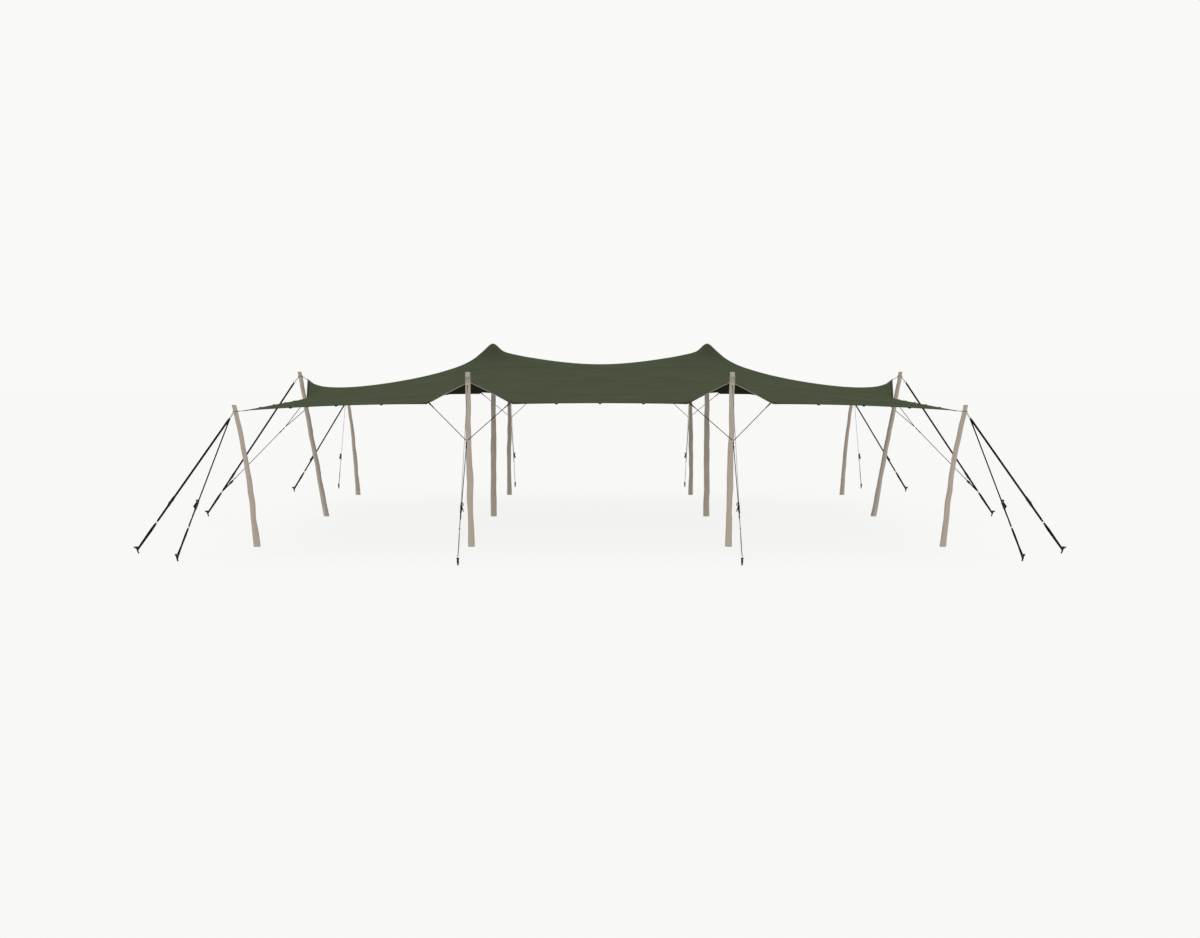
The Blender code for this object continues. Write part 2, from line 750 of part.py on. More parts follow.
def build_corner(end_name, side_name, sx, sy):
    """A corner pole with its rope and its two straps and stakes."""
    name = f"corner_{end_name}_{side_name}"
    post = edge_pole(sx, sy)
    out = Vector((sx, sy, 0.0)).normalized()
    wrap = CORNER_HEIGHT + WRAP_AT_CORNER
    ring = post.axis_point(wrap) + out * CORNER_RING_OUT - Vector((0.0, 0.0, CORNER_RING_DROP))
    straps = {
        "side": (CORNER_STAKE_PAST_SIDE, Vector((0.0, -sy, 0.0))),
        "end": (CORNER_STAKE_PAST_END, Vector((sx, 0.0, 0.0))),
    }
    stakes = {}
    for away, (past, _) in straps.items():
        x, y = post.foot.x + sx * past[0], post.foot.y + sy * past[1]
        stakes[away] = stake_post(x, y, Vector((x - ring.x, y - ring.y, 0.0)).normalized())
    runs = [stake.axis_point(SLING_AT_STAKE) - ring for stake in stakes.values()]
    tip = Vector((sx * canopy.corner_x, sy * canopy.corner_y, CORNER_HEIGHT))
    rope = head_rope(post, wrap, out, ring, runs[0].cross(runs[1]), tip, canopy_tree)
    rope_tree = tree_of(rope)
    finished(f"corner_pole_{end_name}_{side_name}", post.bar(), MATERIALS["timber"])
    finished(f"head_rope_{name}", rope, MATERIALS["rope"])
    for away, (_, handle_side) in straps.items():
        strap = guy_strap(ring, stakes[away], rope_tree, handle_side)
        finished(f"guy_strap_{name}_{away}", strap, MATERIALS["webbing"])
        finished(f"stake_{name}_{away}", stake_bar(stakes[away]), MATERIALS["steel"])


for side_name, sx in LEFT_RIGHT.items():
    build_side(side_name, sx)
    for end_name, sy in FRONT_BACK.items():
        build_end(end_name, side_name, sx, sy)
        build_corner(end_name, side_name, sx, sy)
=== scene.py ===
"""Looks of the stretch tent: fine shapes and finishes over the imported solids.

Metres, +Z up, front -Y, left -X, as the solids have them. Each fine piece takes its place
from the solid that it stands for.
"""

import math

import bmesh
import bpy
import numpy as np
from mathutils import Matrix, Vector, noise
from mathutils.bvhtree import BVHTree


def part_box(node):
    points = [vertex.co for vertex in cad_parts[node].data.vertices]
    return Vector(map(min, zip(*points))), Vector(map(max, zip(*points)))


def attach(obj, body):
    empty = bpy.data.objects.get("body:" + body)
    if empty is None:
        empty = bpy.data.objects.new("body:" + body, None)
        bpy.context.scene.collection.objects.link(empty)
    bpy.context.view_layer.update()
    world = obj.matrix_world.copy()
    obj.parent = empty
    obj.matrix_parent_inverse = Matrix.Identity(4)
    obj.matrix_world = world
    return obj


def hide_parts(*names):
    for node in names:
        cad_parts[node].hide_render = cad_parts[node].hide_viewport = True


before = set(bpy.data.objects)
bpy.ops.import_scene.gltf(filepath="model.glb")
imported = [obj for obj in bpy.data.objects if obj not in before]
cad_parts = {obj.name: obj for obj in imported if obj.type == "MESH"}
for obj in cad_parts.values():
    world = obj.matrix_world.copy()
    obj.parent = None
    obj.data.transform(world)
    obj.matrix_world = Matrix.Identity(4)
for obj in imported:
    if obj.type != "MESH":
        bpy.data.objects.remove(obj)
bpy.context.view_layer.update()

# The photograph's camera.
PHOTO_WIDTH = 1200
FOCAL_PIXELS = 1487.0
CAMERA_BACK = 30.381
CAMERA_HEIGHT = 2.979
CAMERA_PITCH = 0.066
SENSOR = 36.0

# Studio: white walls that dim between two heights of the sky's Z, a lamp, and a floor with a glow.
WALL_LIGHT = 0.95
WALL_TOP = 0.36
DIM_FROM = 0.52
DIM_SHARE = 0.70
LAMP_POWER = 1.5
LAMP_SPREAD = math.radians(40.0)
LAMP_BEHIND = math.radians(38.0)
FLOOR_TONE = (0.055, 0.055, 0.0545)
FLOOR_GLOW = 0.882
FLOOR_SIZE = 400.0
FLOOR_DROP = 0.002

# Canopy, as its solid has it. The fine cloth lies on the solid's underside.
CLOTH = 0.003
TIP_HEIGHT = 2.80
CORNER_HEIGHT = 2.31
EDGE_HEIGHT = 2.42
EDGE_ARCH = 0.015
TIP_BACK = 0.14
CORNER_BACK = 0.12
GABLE_HALF = 0.72
GABLE_STEP = 0.115
EDGE_SAG = 0.031
EDGE_FADE = 4
EDGE_LINE = 0.20
GABLE_BULGE = 0.008
LOOP_PITCH = 0.745
PEAK_STEPS = (0.025, 0.05, 0.09, 0.13, 0.18, 0.25, 0.34, 0.45, 0.58)
PEAK_REACH = (0.0, 0.03, 0.06, 0.09, 0.13, 0.184, 0.25)
PEAK_DROP = (0.0, 0.005, 0.022, 0.049, 0.089, 0.142, 0.196)
RIDGE_PULL = 4.8
RIDGE_WIDTH = 1.5

# Hem, seams, patches and loops of the canopy.
HEM_WIDTH = 0.045
HEM_THICK = 0.0016
SEAM_LINES = (-4.45, -2.72, -1.05, 0.65, 2.35, 4.05)
SEAM_WIDTH = 0.036
SEAM_RISE = 0.0022
PIPING_RADIUS = 0.0065
PATCH_RADIUS = 0.30
LOOP_WIDTH = 0.038
TOGGLE_RADIUS = 0.0115

# Lines of the ropes, straps and bridles, as the solids have them.
WRAP_ABOVE_TIP = 0.065
WRAP_AT_CORNER = -0.01
RING_OUT = 0.112
RING_DROP = 0.11
CORNER_RING_OUT = 0.100
CORNER_RING_DROP = 0.10
RING_RADIUS = 0.024
RING_WIRE = 0.006
RATCHET_HEIGHT = 0.915
RATCHET_LENGTH = 0.20
RATCHET_DEPTH = 0.036
RATCHET_HALF = 0.0180
ROLL_SHARE = 0.15
ROLL_RADIUS = 0.024
HANDLE_LENGTH = 0.115
HOOK_HEIGHT = 0.50
SLING_AT_STAKE = 0.060
BRIDLE_HEIGHT = 1.83
BRIDLE_INSET = 0.025
TENSIONER_HEIGHT = 0.745
TENSIONER_LENGTH = 0.11

# Drift of a crooked stem, slow and quick, and the height over which it sets in.
SLOW_DRIFT = 0.012
QUICK_DRIFT = 0.013
DRIFT_FROM = 0.5
KNOTS = 7

# Finer sizes of the cordage, webbing and steel.
ROPE_RADIUS = 0.0056
ROPE_LAY = 0.036
WRAP_TURNS = 1.5
STRAP_WIDTH = 0.035
STRAP_THICK = 0.0028
EYE_WIDTH = 0.027
SLING_WIDTH = 0.046
SLING_END_WIDTH = 0.030
HOOK_RADIUS = 0.020
HOOK_WIRE = 0.0042
TIP_RING_RADIUS = 0.011
TIP_RING_WIRE = 0.0035
STAKE_RADIUS = 0.013
CORD_RADIUS = 0.0065
TAIL_WIDTH = 0.025
BRIDLE_LOOP = 0.070
CORD_GAP = 0.014
TAB_WIDTH = 0.022
TAB_THICK = 0.0022
FOLD_SHUT = 0.03
LAP_END = 0.15
FOOT_LAP_END = 0.13
LAP_FADED = 0.17
SPOOL_DOWN = 0.032
SPOOL_OFF = 0.007
FOOT_BAR_UP = 0.020
STAKE_HEAD = 0.084
PLATE_EASE = 0.0006

UP = np.array((0.0, 0.0, 1.0))


# Mesh kit

def unit(vector):
    vector = np.asarray(vector, float)
    return vector / np.linalg.norm(vector)


def circle(radius, sides):
    turn = np.arange(sides) * math.tau / sides
    return np.stack((np.cos(turn), np.sin(turn)), axis=1) * radius


def laid(radius, sides):
    """Outline of a rope of three strands."""
    turn = np.arange(sides) * math.tau / sides
    return circle(1.0, sides) * (radius * (0.90 + 0.10 * np.cos(3 * turn)))[:, None]


def webbing(width, thick):
    """Outline of a strip with soft edges, wide along its first axis."""
    w, t = width / 2, thick / 2
    return np.array([(-w, -t * 0.4), (-w + t, -t), (-w / 3, -t), (w / 3, -t), (w - t, -t), (w, -t * 0.4),
                     (w, t * 0.4), (w - t, t), (w / 3, t), (-w / 3, t), (-w + t, t), (-w, t * 0.4)])


def measure(path):
    steps = np.linalg.norm(np.diff(path, axis=0), axis=1)
    return np.concatenate(([0.0], np.cumsum(steps)))


def resampled(path, step):
    """The same path with evenly spaced points."""
    path = np.asarray(path, float)
    along = measure(path)
    count = max(2, int(round(along[-1] / step)) + 1)
    wanted = np.linspace(0.0, along[-1], count)
    return np.stack([np.interp(wanted, along, path[:, k]) for k in range(3)], axis=1)


def softened(path, step, rounds=3):
    """A path through straight runs with its bends cut round."""
    path = np.asarray(path, float)
    for _ in range(rounds):
        near = path[:-1] * 0.75 + path[1:] * 0.25
        far = path[:-1] * 0.25 + path[1:] * 0.75
        path = np.concatenate((path[:1], np.stack((near, far), axis=1).reshape(-1, 3), path[-1:]))
    return resampled(path, step)


def sides_along(path, across):
    """Two directions square to the path at each point, the first near across or turning little."""
    tangent = np.gradient(path, axis=0)
    tangent /= np.linalg.norm(tangent, axis=1)[:, None]
    if across is None:
        side = np.zeros_like(path)
        start = np.cross(tangent[0], UP if abs(tangent[0][2]) < 0.9 else (1.0, 0.0, 0.0))
        for i, way in enumerate(tangent):
            start = start - way * np.dot(start, way)
            start /= np.linalg.norm(start)
            side[i] = start
    else:
        side = np.broadcast_to(np.asarray(across, float), path.shape)
        side = side - tangent * np.sum(side * tangent, axis=1)[:, None]
        side /= np.linalg.norm(side, axis=1)[:, None]
    return side, np.cross(tangent, side)


def swept(path, section, across=None, widths=1.0, turn=0.0):
    """Rings of a section carried along a path, scaled in width and turned on the way."""
    path = np.asarray(path, float)
    side, rise = sides_along(path, across)
    widths = np.broadcast_to(widths, len(path))
    turn = np.broadcast_to(turn, len(path))
    cos, sin = np.cos(turn)[:, None], np.sin(turn)[:, None]
    wide = section[None, :, 0] * widths[:, None]
    high = np.broadcast_to(section[None, :, 1], wide.shape)
    u, v = wide * cos - high * sin, wide * sin + high * cos
    return path[:, None, :] + u[..., None] * side[:, None, :] + v[..., None] * rise[:, None, :]


class Shape:
    """Closed forms gathered into one mesh, each with a material number and UVs in metres."""

    def __init__(self, place=None):
        self.place = place or Matrix.Identity(4)
        self.points = []
        self.faces = []
        self.slots = []
        self.uvs = []

    def tube(self, rings, slot=0, cap_slot=None, closed=False):
        """A skin through rings of points, capped at both ends or joined into a hoop."""
        rings = np.asarray(rings, float)
        count, around = rings.shape[:2]
        start = len(self.points)
        turn = np.array(self.place.to_3x3())
        world = rings.reshape(-1, 3) @ turn.T + np.array(self.place.translation)
        self.points.extend(map(tuple, world))
        loop = rings[count // 2]
        across = measure(np.concatenate((loop, loop[:1])))
        along = measure(rings.mean(axis=1))
        step = along[-1] / (count - 1)
        for i in range(count if closed else count - 1):
            here, there = start + i * around, start + (i + 1) % count * around
            low, high = along[i], along[i] + step if i == count - 1 else along[i + 1]
            for j in range(around):
                k = (j + 1) % around
                self.faces.append((here + j, here + k, there + k, there + j))
                self.uvs += [(across[j], low), (across[j + 1], low),
                             (across[j + 1], high), (across[j], high)]
                self.slots.append(slot)
        if not closed:
            for ring in (list(range(around))[::-1], [(count - 1) * around + j for j in range(around)]):
                self.faces.append(tuple(start + j for j in ring))
                self.uvs += [tuple(rings.reshape(-1, 3)[j, :2]) for j in ring]
                self.slots.append(slot if cap_slot is None else cap_slot)

    def plate(self, outline, low, high, slot):
        """A flat outline in X and Y between two heights, with its edges eased."""
        outline = np.asarray(outline, float)
        middle = outline.mean(axis=0)
        small = middle + (outline - middle) * (1.0 - PLATE_EASE * 2 / np.ptp(outline, axis=0).min())
        rings = [(small, low), (outline, low + PLATE_EASE), (outline, high - PLATE_EASE), (small, high)]
        self.tube([np.column_stack((line, np.full(len(line), z))) for line, z in rings], slot)

    def strip(self, path, width, across, scale=1.0, thick=STRAP_THICK, slot=0, closed=False):
        """A strip of webbing along a path, its width scaled on the way."""
        self.tube(swept(path, webbing(width, thick), across, scale), slot, closed=closed)

    def cord(self, path, radius, slot=0):
        """A round cord along a path."""
        self.tube(swept(path, circle(radius, 10)), slot)

    def bar(self, start, end, radius, slot, sides=12):
        """A round bar with eased ends."""
        start, end = np.asarray(start, float), np.asarray(end, float)
        ease = unit(end - start) * radius * 0.15
        path = np.array((start, start + ease, end - ease, end))
        self.tube(scaled_rings(swept(path, circle(radius, sides)), (0.85, 1.0, 1.0, 0.85)), slot)

    def hoop(self, centre, normal, radius, wire, slot, segments=32, sides=10):
        """A ring of round wire."""
        normal = unit(normal)
        first = unit(np.cross(normal, UP if abs(normal[2]) < 0.9 else (1.0, 0.0, 0.0)))
        second = np.cross(normal, first)
        turn = np.arange(segments) * math.tau / segments
        out = np.cos(turn)[:, None] * first + np.sin(turn)[:, None] * second
        section = circle(wire, sides)
        rings = (np.asarray(centre) + out * radius)[:, None, :] \
            + section[None, :, 0, None] * out[:, None, :] + section[None, :, 1, None] * normal
        self.tube(rings, slot, closed=True)

    def piece(self, name, materials, stands_for=(), sharp=38.0):
        """The finished object, riding on the tent."""
        mesh = bpy.data.meshes.new(name)
        mesh.from_pydata(self.points, [], self.faces)
        mesh.uv_layers.new(name="UVMap").data.foreach_set("uv", np.ravel(self.uvs))
        mesh.polygons.foreach_set("material_index", self.slots)
        work = bmesh.new()
        work.from_mesh(mesh)
        bmesh.ops.recalc_face_normals(work, faces=work.faces)
        work.to_mesh(mesh)
        work.free()
        for material in materials:
            mesh.materials.append(material)
        mesh.shade_smooth()
        mesh.set_sharp_from_angle(angle=math.radians(sharp))
        return placed(bpy.data.objects.new(name, mesh), stands_for)


def scaled_rings(rings, scales):
    middle = rings.mean(axis=1)[:, None, :]
    return middle + (rings - middle) * np.asarray(scales)[:, None, None]


def placed(obj, stands_for):
    if obj.name not in bpy.context.scene.collection.objects:
        bpy.context.scene.collection.objects.link(obj)
    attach(obj, "root")
    if stands_for:
        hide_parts(*stands_for)
    return obj


# Materials

class Finish:
    """A material with short ways to add nodes to it."""

    def __init__(self, name, roughness, metallic=0.0, specular=0.5):
        self.material = bpy.data.materials.new(name)
        self.material.use_nodes = True
        self.tree = self.material.node_tree
        self.shader = self.tree.nodes["Principled BSDF"]
        for key, value in (("Roughness", roughness), ("Metallic", metallic),
                           ("Specular IOR Level", specular)):
            self.put(self.shader.inputs[key], value)

    def put(self, socket, value):
        """Links a node's output to a socket, or sets the socket to a number or colour."""
        if isinstance(value, bpy.types.NodeSocket):
            self.tree.links.new(value, socket)
        else:
            socket.default_value = (*value, 1.0) if socket.type == "RGBA" else value

    def node(self, kind, inputs=None, **settings):
        made = self.tree.nodes.new(kind)
        for key, value in settings.items():
            setattr(made, key, value)
        for key, value in (inputs or {}).items():
            self.put(made.inputs[key], value)
        return made

    def coordinates(self, kind, scale=(1.0, 1.0, 1.0)):
        where = self.node("ShaderNodeTexCoord").outputs[kind]
        return self.node("ShaderNodeMapping", {"Vector": where, "Scale": scale}).outputs["Vector"]

    def noise(self, where, scale, detail=3.0, rough=0.55, distortion=0.0):
        return self.node("ShaderNodeTexNoise", {
            "Vector": where, "Scale": scale, "Detail": detail, "Roughness": rough,
            "Distortion": distortion}).outputs["Fac"]

    def wave(self, where, scale, direction, distortion=0.0):
        return self.node("ShaderNodeTexWave", {
            "Vector": where, "Scale": scale, "Distortion": distortion, "Detail": 1.0},
            wave_type="BANDS", bands_direction=direction).outputs["Fac"]

    def voronoi(self, where, scale):
        return self.node("ShaderNodeTexVoronoi", {"Vector": where, "Scale": scale}).outputs["Distance"]

    def maths(self, operation, first, second):
        return self.node("ShaderNodeMath", {0: first, 1: second}, operation=operation).outputs[0]

    def ramp(self, factor, stops):
        made = self.node("ShaderNodeValToRGB", {"Fac": factor})
        elements = made.color_ramp.elements
        while len(elements) < len(stops):
            elements.new(0.5)
        for element, (position, colour) in zip(elements, stops):
            element.position = position
            element.color = (*colour, 1.0)
        return made.outputs["Color"]

    def blend(self, factor, first, second):
        return self.node("ShaderNodeMix", {0: factor, 6: first, 7: second}, data_type="RGBA").outputs[2]

    def colour(self, value):
        self.put(self.shader.inputs["Base Color"], value)

    def roughness(self, factor, low, high):
        made = self.node("ShaderNodeMapRange", {"Value": factor, "To Min": low, "To Max": high})
        self.put(self.shader.inputs["Roughness"], made.outputs["Result"])

    def bump(self, height, strength, distance):
        made = self.node("ShaderNodeBump", {
            "Height": height, "Strength": strength, "Distance": distance})
        self.put(self.shader.inputs["Normal"], made.outputs["Normal"])


def shade(colour, factor):
    return tuple(channel * factor for channel in colour)


OLIVE = (0.0676, 0.0806, 0.0493)
# Painted shade: the underside's colour is the olive face darkened for the shade under the canopy; the real
# cloth is one colour on both sides.
OLIVE_PAINTED_SHADE = (0.0150, 0.0168, 0.0108)
TIMBER = (0.474, 0.400, 0.330)
ROPE_WHITE = (0.37, 0.355, 0.32)
BLACK = (0.0040, 0.0040, 0.0043)


def stretch_cloth(name, colour):
    """Knitted cloth with a coated face: fine ribs, slight mottle and a trace of dust."""
    finish = Finish(name, 0.82, specular=0.0)
    where = finish.coordinates("Object")
    mottle = finish.noise(where, 1.6, 5.0, 0.6)
    tone = finish.ramp(mottle, [(0.30, shade(colour, 0.93)), (0.70, shade(colour, 1.06))])
    dust = finish.noise(where, 14.0, 4.0, 0.7)
    mask = finish.ramp(dust, [(0.62, (0.0, 0.0, 0.0)), (0.80, (0.16, 0.16, 0.16))])
    finish.colour(finish.blend(mask, tone, shade(colour, 1.5)))
    ribs = finish.wave(where, 120.0, "Y", 0.6)
    fine = finish.noise(where, 260.0, 2.0)
    finish.bump(finish.maths("ADD", ribs, finish.maths("MULTIPLY", fine, 0.8)), 0.18, 0.0007)
    finish.roughness(mottle, 0.76, 0.88)
    return finish.material


def hem_cloth():
    """Doubled cloth with two rows of stitches, laid out along the hem's UVs."""
    finish = Finish("hem_cloth", 0.84, specular=0.0)
    where = finish.coordinates("UV")
    mottle = finish.noise(finish.coordinates("Object"), 9.0, 3.0)
    base = finish.ramp(mottle, [(0.3, shade(OLIVE, 0.70)), (0.7, shade(OLIVE, 0.86))])
    rows = finish.wave(where, 17.0, "X")
    dashes = finish.wave(where, 42.0, "Y")
    thread = finish.maths("MULTIPLY", finish.maths("GREATER_THAN", rows, 0.965),
                          finish.maths("GREATER_THAN", dashes, 0.35))
    finish.colour(finish.blend(thread, base, shade(OLIVE, 0.35)))
    finish.bump(finish.maths("SUBTRACT", mottle, thread), 0.25, 0.001)
    return finish.material


def timber():
    """Peeled round timber: long grain, darker checks and small knots."""
    finish = Finish("peeled_timber", 0.78)
    where = finish.coordinates("UV", (26.0, 1.1, 1.0))
    grain = finish.noise(where, 3.0, 6.0, 0.62, 0.5)
    broad = finish.noise(finish.coordinates("UV", (5.0, 1.6, 1.0)), 1.4, 3.0)
    tone = finish.ramp(grain, [(0.30, shade(TIMBER, 0.80)), (0.52, TIMBER), (0.72, shade(TIMBER, 1.12))])
    tint = finish.blend(finish.maths("MULTIPLY", broad, 0.42), tone, shade(TIMBER, 0.81))
    checks = finish.noise(finish.coordinates("UV", (60.0, 0.9, 1.0)), 2.0, 2.0, 0.4)
    cracks = finish.ramp(checks, [(0.27, (1.0, 1.0, 1.0)), (0.31, (0.0, 0.0, 0.0))])
    finish.colour(finish.blend(cracks, tint, (0.16, 0.125, 0.10)))
    finish.bump(finish.maths("ADD", grain, finish.maths("MULTIPLY", checks, 0.7)), 0.35, 0.0016)
    finish.roughness(grain, 0.70, 0.86)
    return finish.material


def end_grain():
    """Sawn end of a pole, with its growth rings."""
    finish = Finish("sawn_end", 0.82)
    where = finish.coordinates("Object")
    rings = finish.voronoi(where, 9.0)
    lines = finish.maths("SINE", finish.maths("MULTIPLY", rings, 160.0), 0.0)
    finish.colour(finish.ramp(lines, [(0.2, shade(TIMBER, 0.72)), (0.8, shade(TIMBER, 0.98))]))
    finish.bump(lines, 0.2, 0.0008)
    return finish.material


def rope_fibre():
    """Off-white laid rope: fibres slant along each strand, grubby in random patches."""
    finish = Finish("rope_fibre", 0.86)
    where = finish.coordinates("UV", (90.0, 60.0, 1.0))
    fibre = finish.noise(where, 6.0, 3.0)
    grime = finish.noise(finish.coordinates("Object"), 30.0, 3.0)
    tone = finish.ramp(fibre, [(0.3, shade(ROPE_WHITE, 0.82)), (0.7, ROPE_WHITE)])
    finish.colour(finish.blend(finish.maths("MULTIPLY", grime, 0.30), tone, shade(ROPE_WHITE, 0.6)))
    finish.bump(fibre, 0.35, 0.0008)
    return finish.material


def black_webbing():
    """Woven polyester webbing: cross ribs, selvedges and rubbed high spots."""
    finish = Finish("black_webbing", 0.66, specular=0.12)
    where = finish.coordinates("UV")
    ribs = finish.wave(where, 190.0, "Y")
    warp = finish.wave(where, 120.0, "X")
    weave = finish.maths("MULTIPLY", ribs, warp)
    rub = finish.noise(finish.coordinates("Object"), 22.0, 4.0, 0.7)
    tone = finish.ramp(weave, [(0.1, shade(BLACK, 0.6)), (0.9, shade(BLACK, 1.6))])
    finish.colour(finish.blend(finish.ramp(rub, [(0.62, (0, 0, 0)), (0.85, (0.3, 0.3, 0.3))]), tone,
                               (0.020, 0.020, 0.021)))
    finish.bump(weave, 0.4, 0.0006)
    finish.roughness(rub, 0.58, 0.78)
    return finish.material


def braided_cord():
    """Thin braided cord: crossing plaits."""
    finish = Finish("braided_cord", 0.7, specular=0.12)
    where = finish.coordinates("UV")
    one = finish.wave(where, 70.0, "DIAGONAL")
    two = finish.wave(finish.coordinates("UV", (-1.0, 1.0, 1.0)), 70.0, "DIAGONAL")
    plait = finish.maths("MAXIMUM", one, two)
    finish.colour(finish.ramp(plait, [(0.45, shade(BLACK, 1.2)), (0.95, (0.018, 0.018, 0.019))]))
    finish.bump(plait, 0.5, 0.0009)
    return finish.material


def painted_steel():
    """Black coated steel, chipped to grey on its edges."""
    finish = Finish("black_steel", 0.42, specular=0.25)
    where = finish.coordinates("Object")
    chips = finish.noise(where, 60.0, 5.0, 0.7)
    mask = finish.ramp(chips, [(0.64, (0, 0, 0)), (0.68, (0.5, 0.5, 0.5))])
    finish.colour(finish.blend(mask, (0.006, 0.006, 0.0065), (0.10, 0.098, 0.095)))
    finish.bump(finish.noise(where, 240.0, 2.0), 0.15, 0.0004)
    finish.roughness(chips, 0.34, 0.55)
    return finish.material


def galvanised():
    """Zinc-dipped steel with its spangle."""
    finish = Finish("galvanised_steel", 0.38, 0.9)
    where = finish.coordinates("Object")
    spangle = finish.voronoi(where, 160.0)
    finish.colour(finish.ramp(spangle, [(0.1, (0.50, 0.51, 0.52)), (0.8, (0.68, 0.69, 0.70))]))
    finish.roughness(finish.noise(where, 90.0, 3.0), 0.28, 0.50)
    finish.bump(spangle, 0.1, 0.0003)
    return finish.material


def rubber():
    """Matt black rubber with a moulded grain."""
    finish = Finish("black_rubber", 0.72, specular=0.2)
    where = finish.coordinates("Object")
    grain = finish.voronoi(where, 420.0)
    dust = finish.noise(where, 18.0, 3.0)
    finish.colour(finish.ramp(dust, [(0.4, (0.006, 0.006, 0.006)), (0.8, (0.014, 0.0135, 0.013))]))
    finish.bump(grain, 0.3, 0.0004)
    return finish.material


TOP_CLOTH = stretch_cloth("canopy_face", OLIVE)
# The underside cloth is a darker copy of the face cloth, with the shade under the canopy painted into its
# colour.
UNDER_CLOTH_PAINTED_SHADE = stretch_cloth("canopy_underside_painted_shade", OLIVE_PAINTED_SHADE)
HEM = hem_cloth()
WOOD = timber()
SAWN = end_grain()
FIBRE = rope_fibre()
BLACK_WEB = black_webbing()
CORD = braided_cord()
STEEL = painted_steel()
ZINC = galvanised()
RUBBER = rubber()


# Poles

def levels_of(node):
    """Height, middle and radius of each level ring of a bar's solid, lowest first."""
    points = np.array([vertex.co[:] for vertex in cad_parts[node].data.vertices])
    points = points[np.argsort(points[:, 2])]
    cuts = np.nonzero(np.diff(points[:, 2]) > 0.001)[0] + 1
    rows = []
    for ring in np.split(points, cuts):
        low, high = ring.min(axis=0), ring.max(axis=0)
        middle = (low + high) / 2
        rows.append((middle[2], middle[0], middle[1], (high - low)[:2].max() / 2))
    return np.array(rows)


class Pole:
    """A peeled pole along its solid's line, with its own wander, knots and flutes."""

    RINGS_PER_METRE = 30
    SIDES = 32

    def __init__(self, node, seed, inner):
        rows = levels_of(node)
        self.height = rows[-1, 0]
        self.seed = seed * 7.31
        self.inner = inner
        degree = min(4, len(rows) - 1)
        self.fit_x = np.polyfit(rows[:, 0], rows[:, 1], degree)
        self.fit_y = np.polyfit(rows[:, 0], rows[:, 2], degree)
        self.levels, self.radii = rows[:, 0], rows[:, 3]
        luck = np.random.default_rng(seed)
        self.knots = [(luck.uniform(0.25, self.height - 0.25), luck.uniform(0, math.tau),
                       luck.uniform(0.003, 0.007)) for _ in range(KNOTS)]

    def wander(self, z):
        """Sideways drift of the crooked stem, none at the foot nor at an inner pole's top."""
        free = min(1.0, z / DRIFT_FROM)
        if self.inner:
            free *= min(1.0, (self.height - z) / DRIFT_FROM)
        drift = [noise.noise((self.seed, low, z * 1.15)) * SLOW_DRIFT
                 + noise.noise((self.seed, high, z * 3.3)) * QUICK_DRIFT
                 for low, high in ((0.3, 4.1), (8.7, 2.6))]
        return np.array((*drift, 0.0)) * free

    def axis(self, z):
        return np.array((np.polyval(self.fit_x, z), np.polyval(self.fit_y, z), z)) + self.wander(z)

    def radius(self, z):
        level = float(np.interp(z, self.levels, self.radii))
        return level * (1.0 + 0.08 * noise.noise((self.seed, 6.2, z * 3.1)))

    def skin(self, z, angle):
        """Radius at one point of the bark line."""
        around = (math.cos(angle) * 1.2 + self.seed, math.sin(angle) * 1.2, z * 1.7)
        flute = noise.noise((math.cos(angle) * 4.0, math.sin(angle) * 4.0 + self.seed, z * 0.9))
        radius = self.radius(z) * (1.0 + 0.05 * noise.noise(around)) + 0.0016 * flute
        for level, towards, size in self.knots:
            off = math.remainder(angle - towards, math.tau) * radius
            radius += size * math.exp(-((z - level) / 0.030) ** 2 - (off / 0.022) ** 2)
        return radius

    def ring(self, z, scale=1.0):
        centre = self.axis(z)
        angles = np.arange(self.SIDES) * math.tau / self.SIDES
        return [centre + np.array((math.cos(a), math.sin(a), 0.0)) * self.skin(z, a) * scale for a in angles]

    def build(self, node):
        shape = Shape()
        count = int(self.height * self.RINGS_PER_METRE)
        eased = 0.004
        stops = np.linspace(eased, self.height - eased, count)
        rings = [self.ring(0.0, 0.95)] + [self.ring(z) for z in stops] + [self.ring(self.height, 0.93)]
        shape.tube(rings, 0, 1)
        return shape.piece(f"timber_{node}", [WOOD, SAWN], [node])


def king_cap(side):
    """Turned rubber dome that spreads the cloth over a king pole."""
    node = f"king_head_{side}"
    low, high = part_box(node)
    x = (low[0] + high[0]) / 2
    height = high[2] - low[2]
    neck, wide = 0.050, (high[0] - low[0]) / 2
    profile = [(neck * 0.92, 0.0), (neck, 0.003), (neck + 0.004, 0.008), (wide * 0.72, 0.010),
               (wide * 0.95, 0.014), (wide, 0.019), (wide - 0.001, 0.025), (wide * 0.97, 0.029)]
    profile += [(radius, height - np.interp(radius, PEAK_REACH, PEAK_DROP) - 0.002)
                for radius in (0.108, 0.096, 0.084, 0.072, 0.060, 0.048, 0.036, 0.024, 0.012)]
    shape = Shape(Matrix.Translation((x, 0.0, low[2])))
    shape.tube([[(px * radius, py * radius, z) for px, py in circle(1.0, 40)] for radius, z in profile])
    shape.piece(f"cap_{node}", [RUBBER], [node])


# Canopy

def stops_between(start, end, pitch):
    count = max(1, round((end - start) / pitch))
    return [start + (end - start) * i / count for i in range(1, count + 1)]


def halved(stops, start):
    """The same stops with one more halfway before each."""
    made = []
    for stop in stops:
        made += [(start + stop) / 2, stop]
        start = stop
    return made


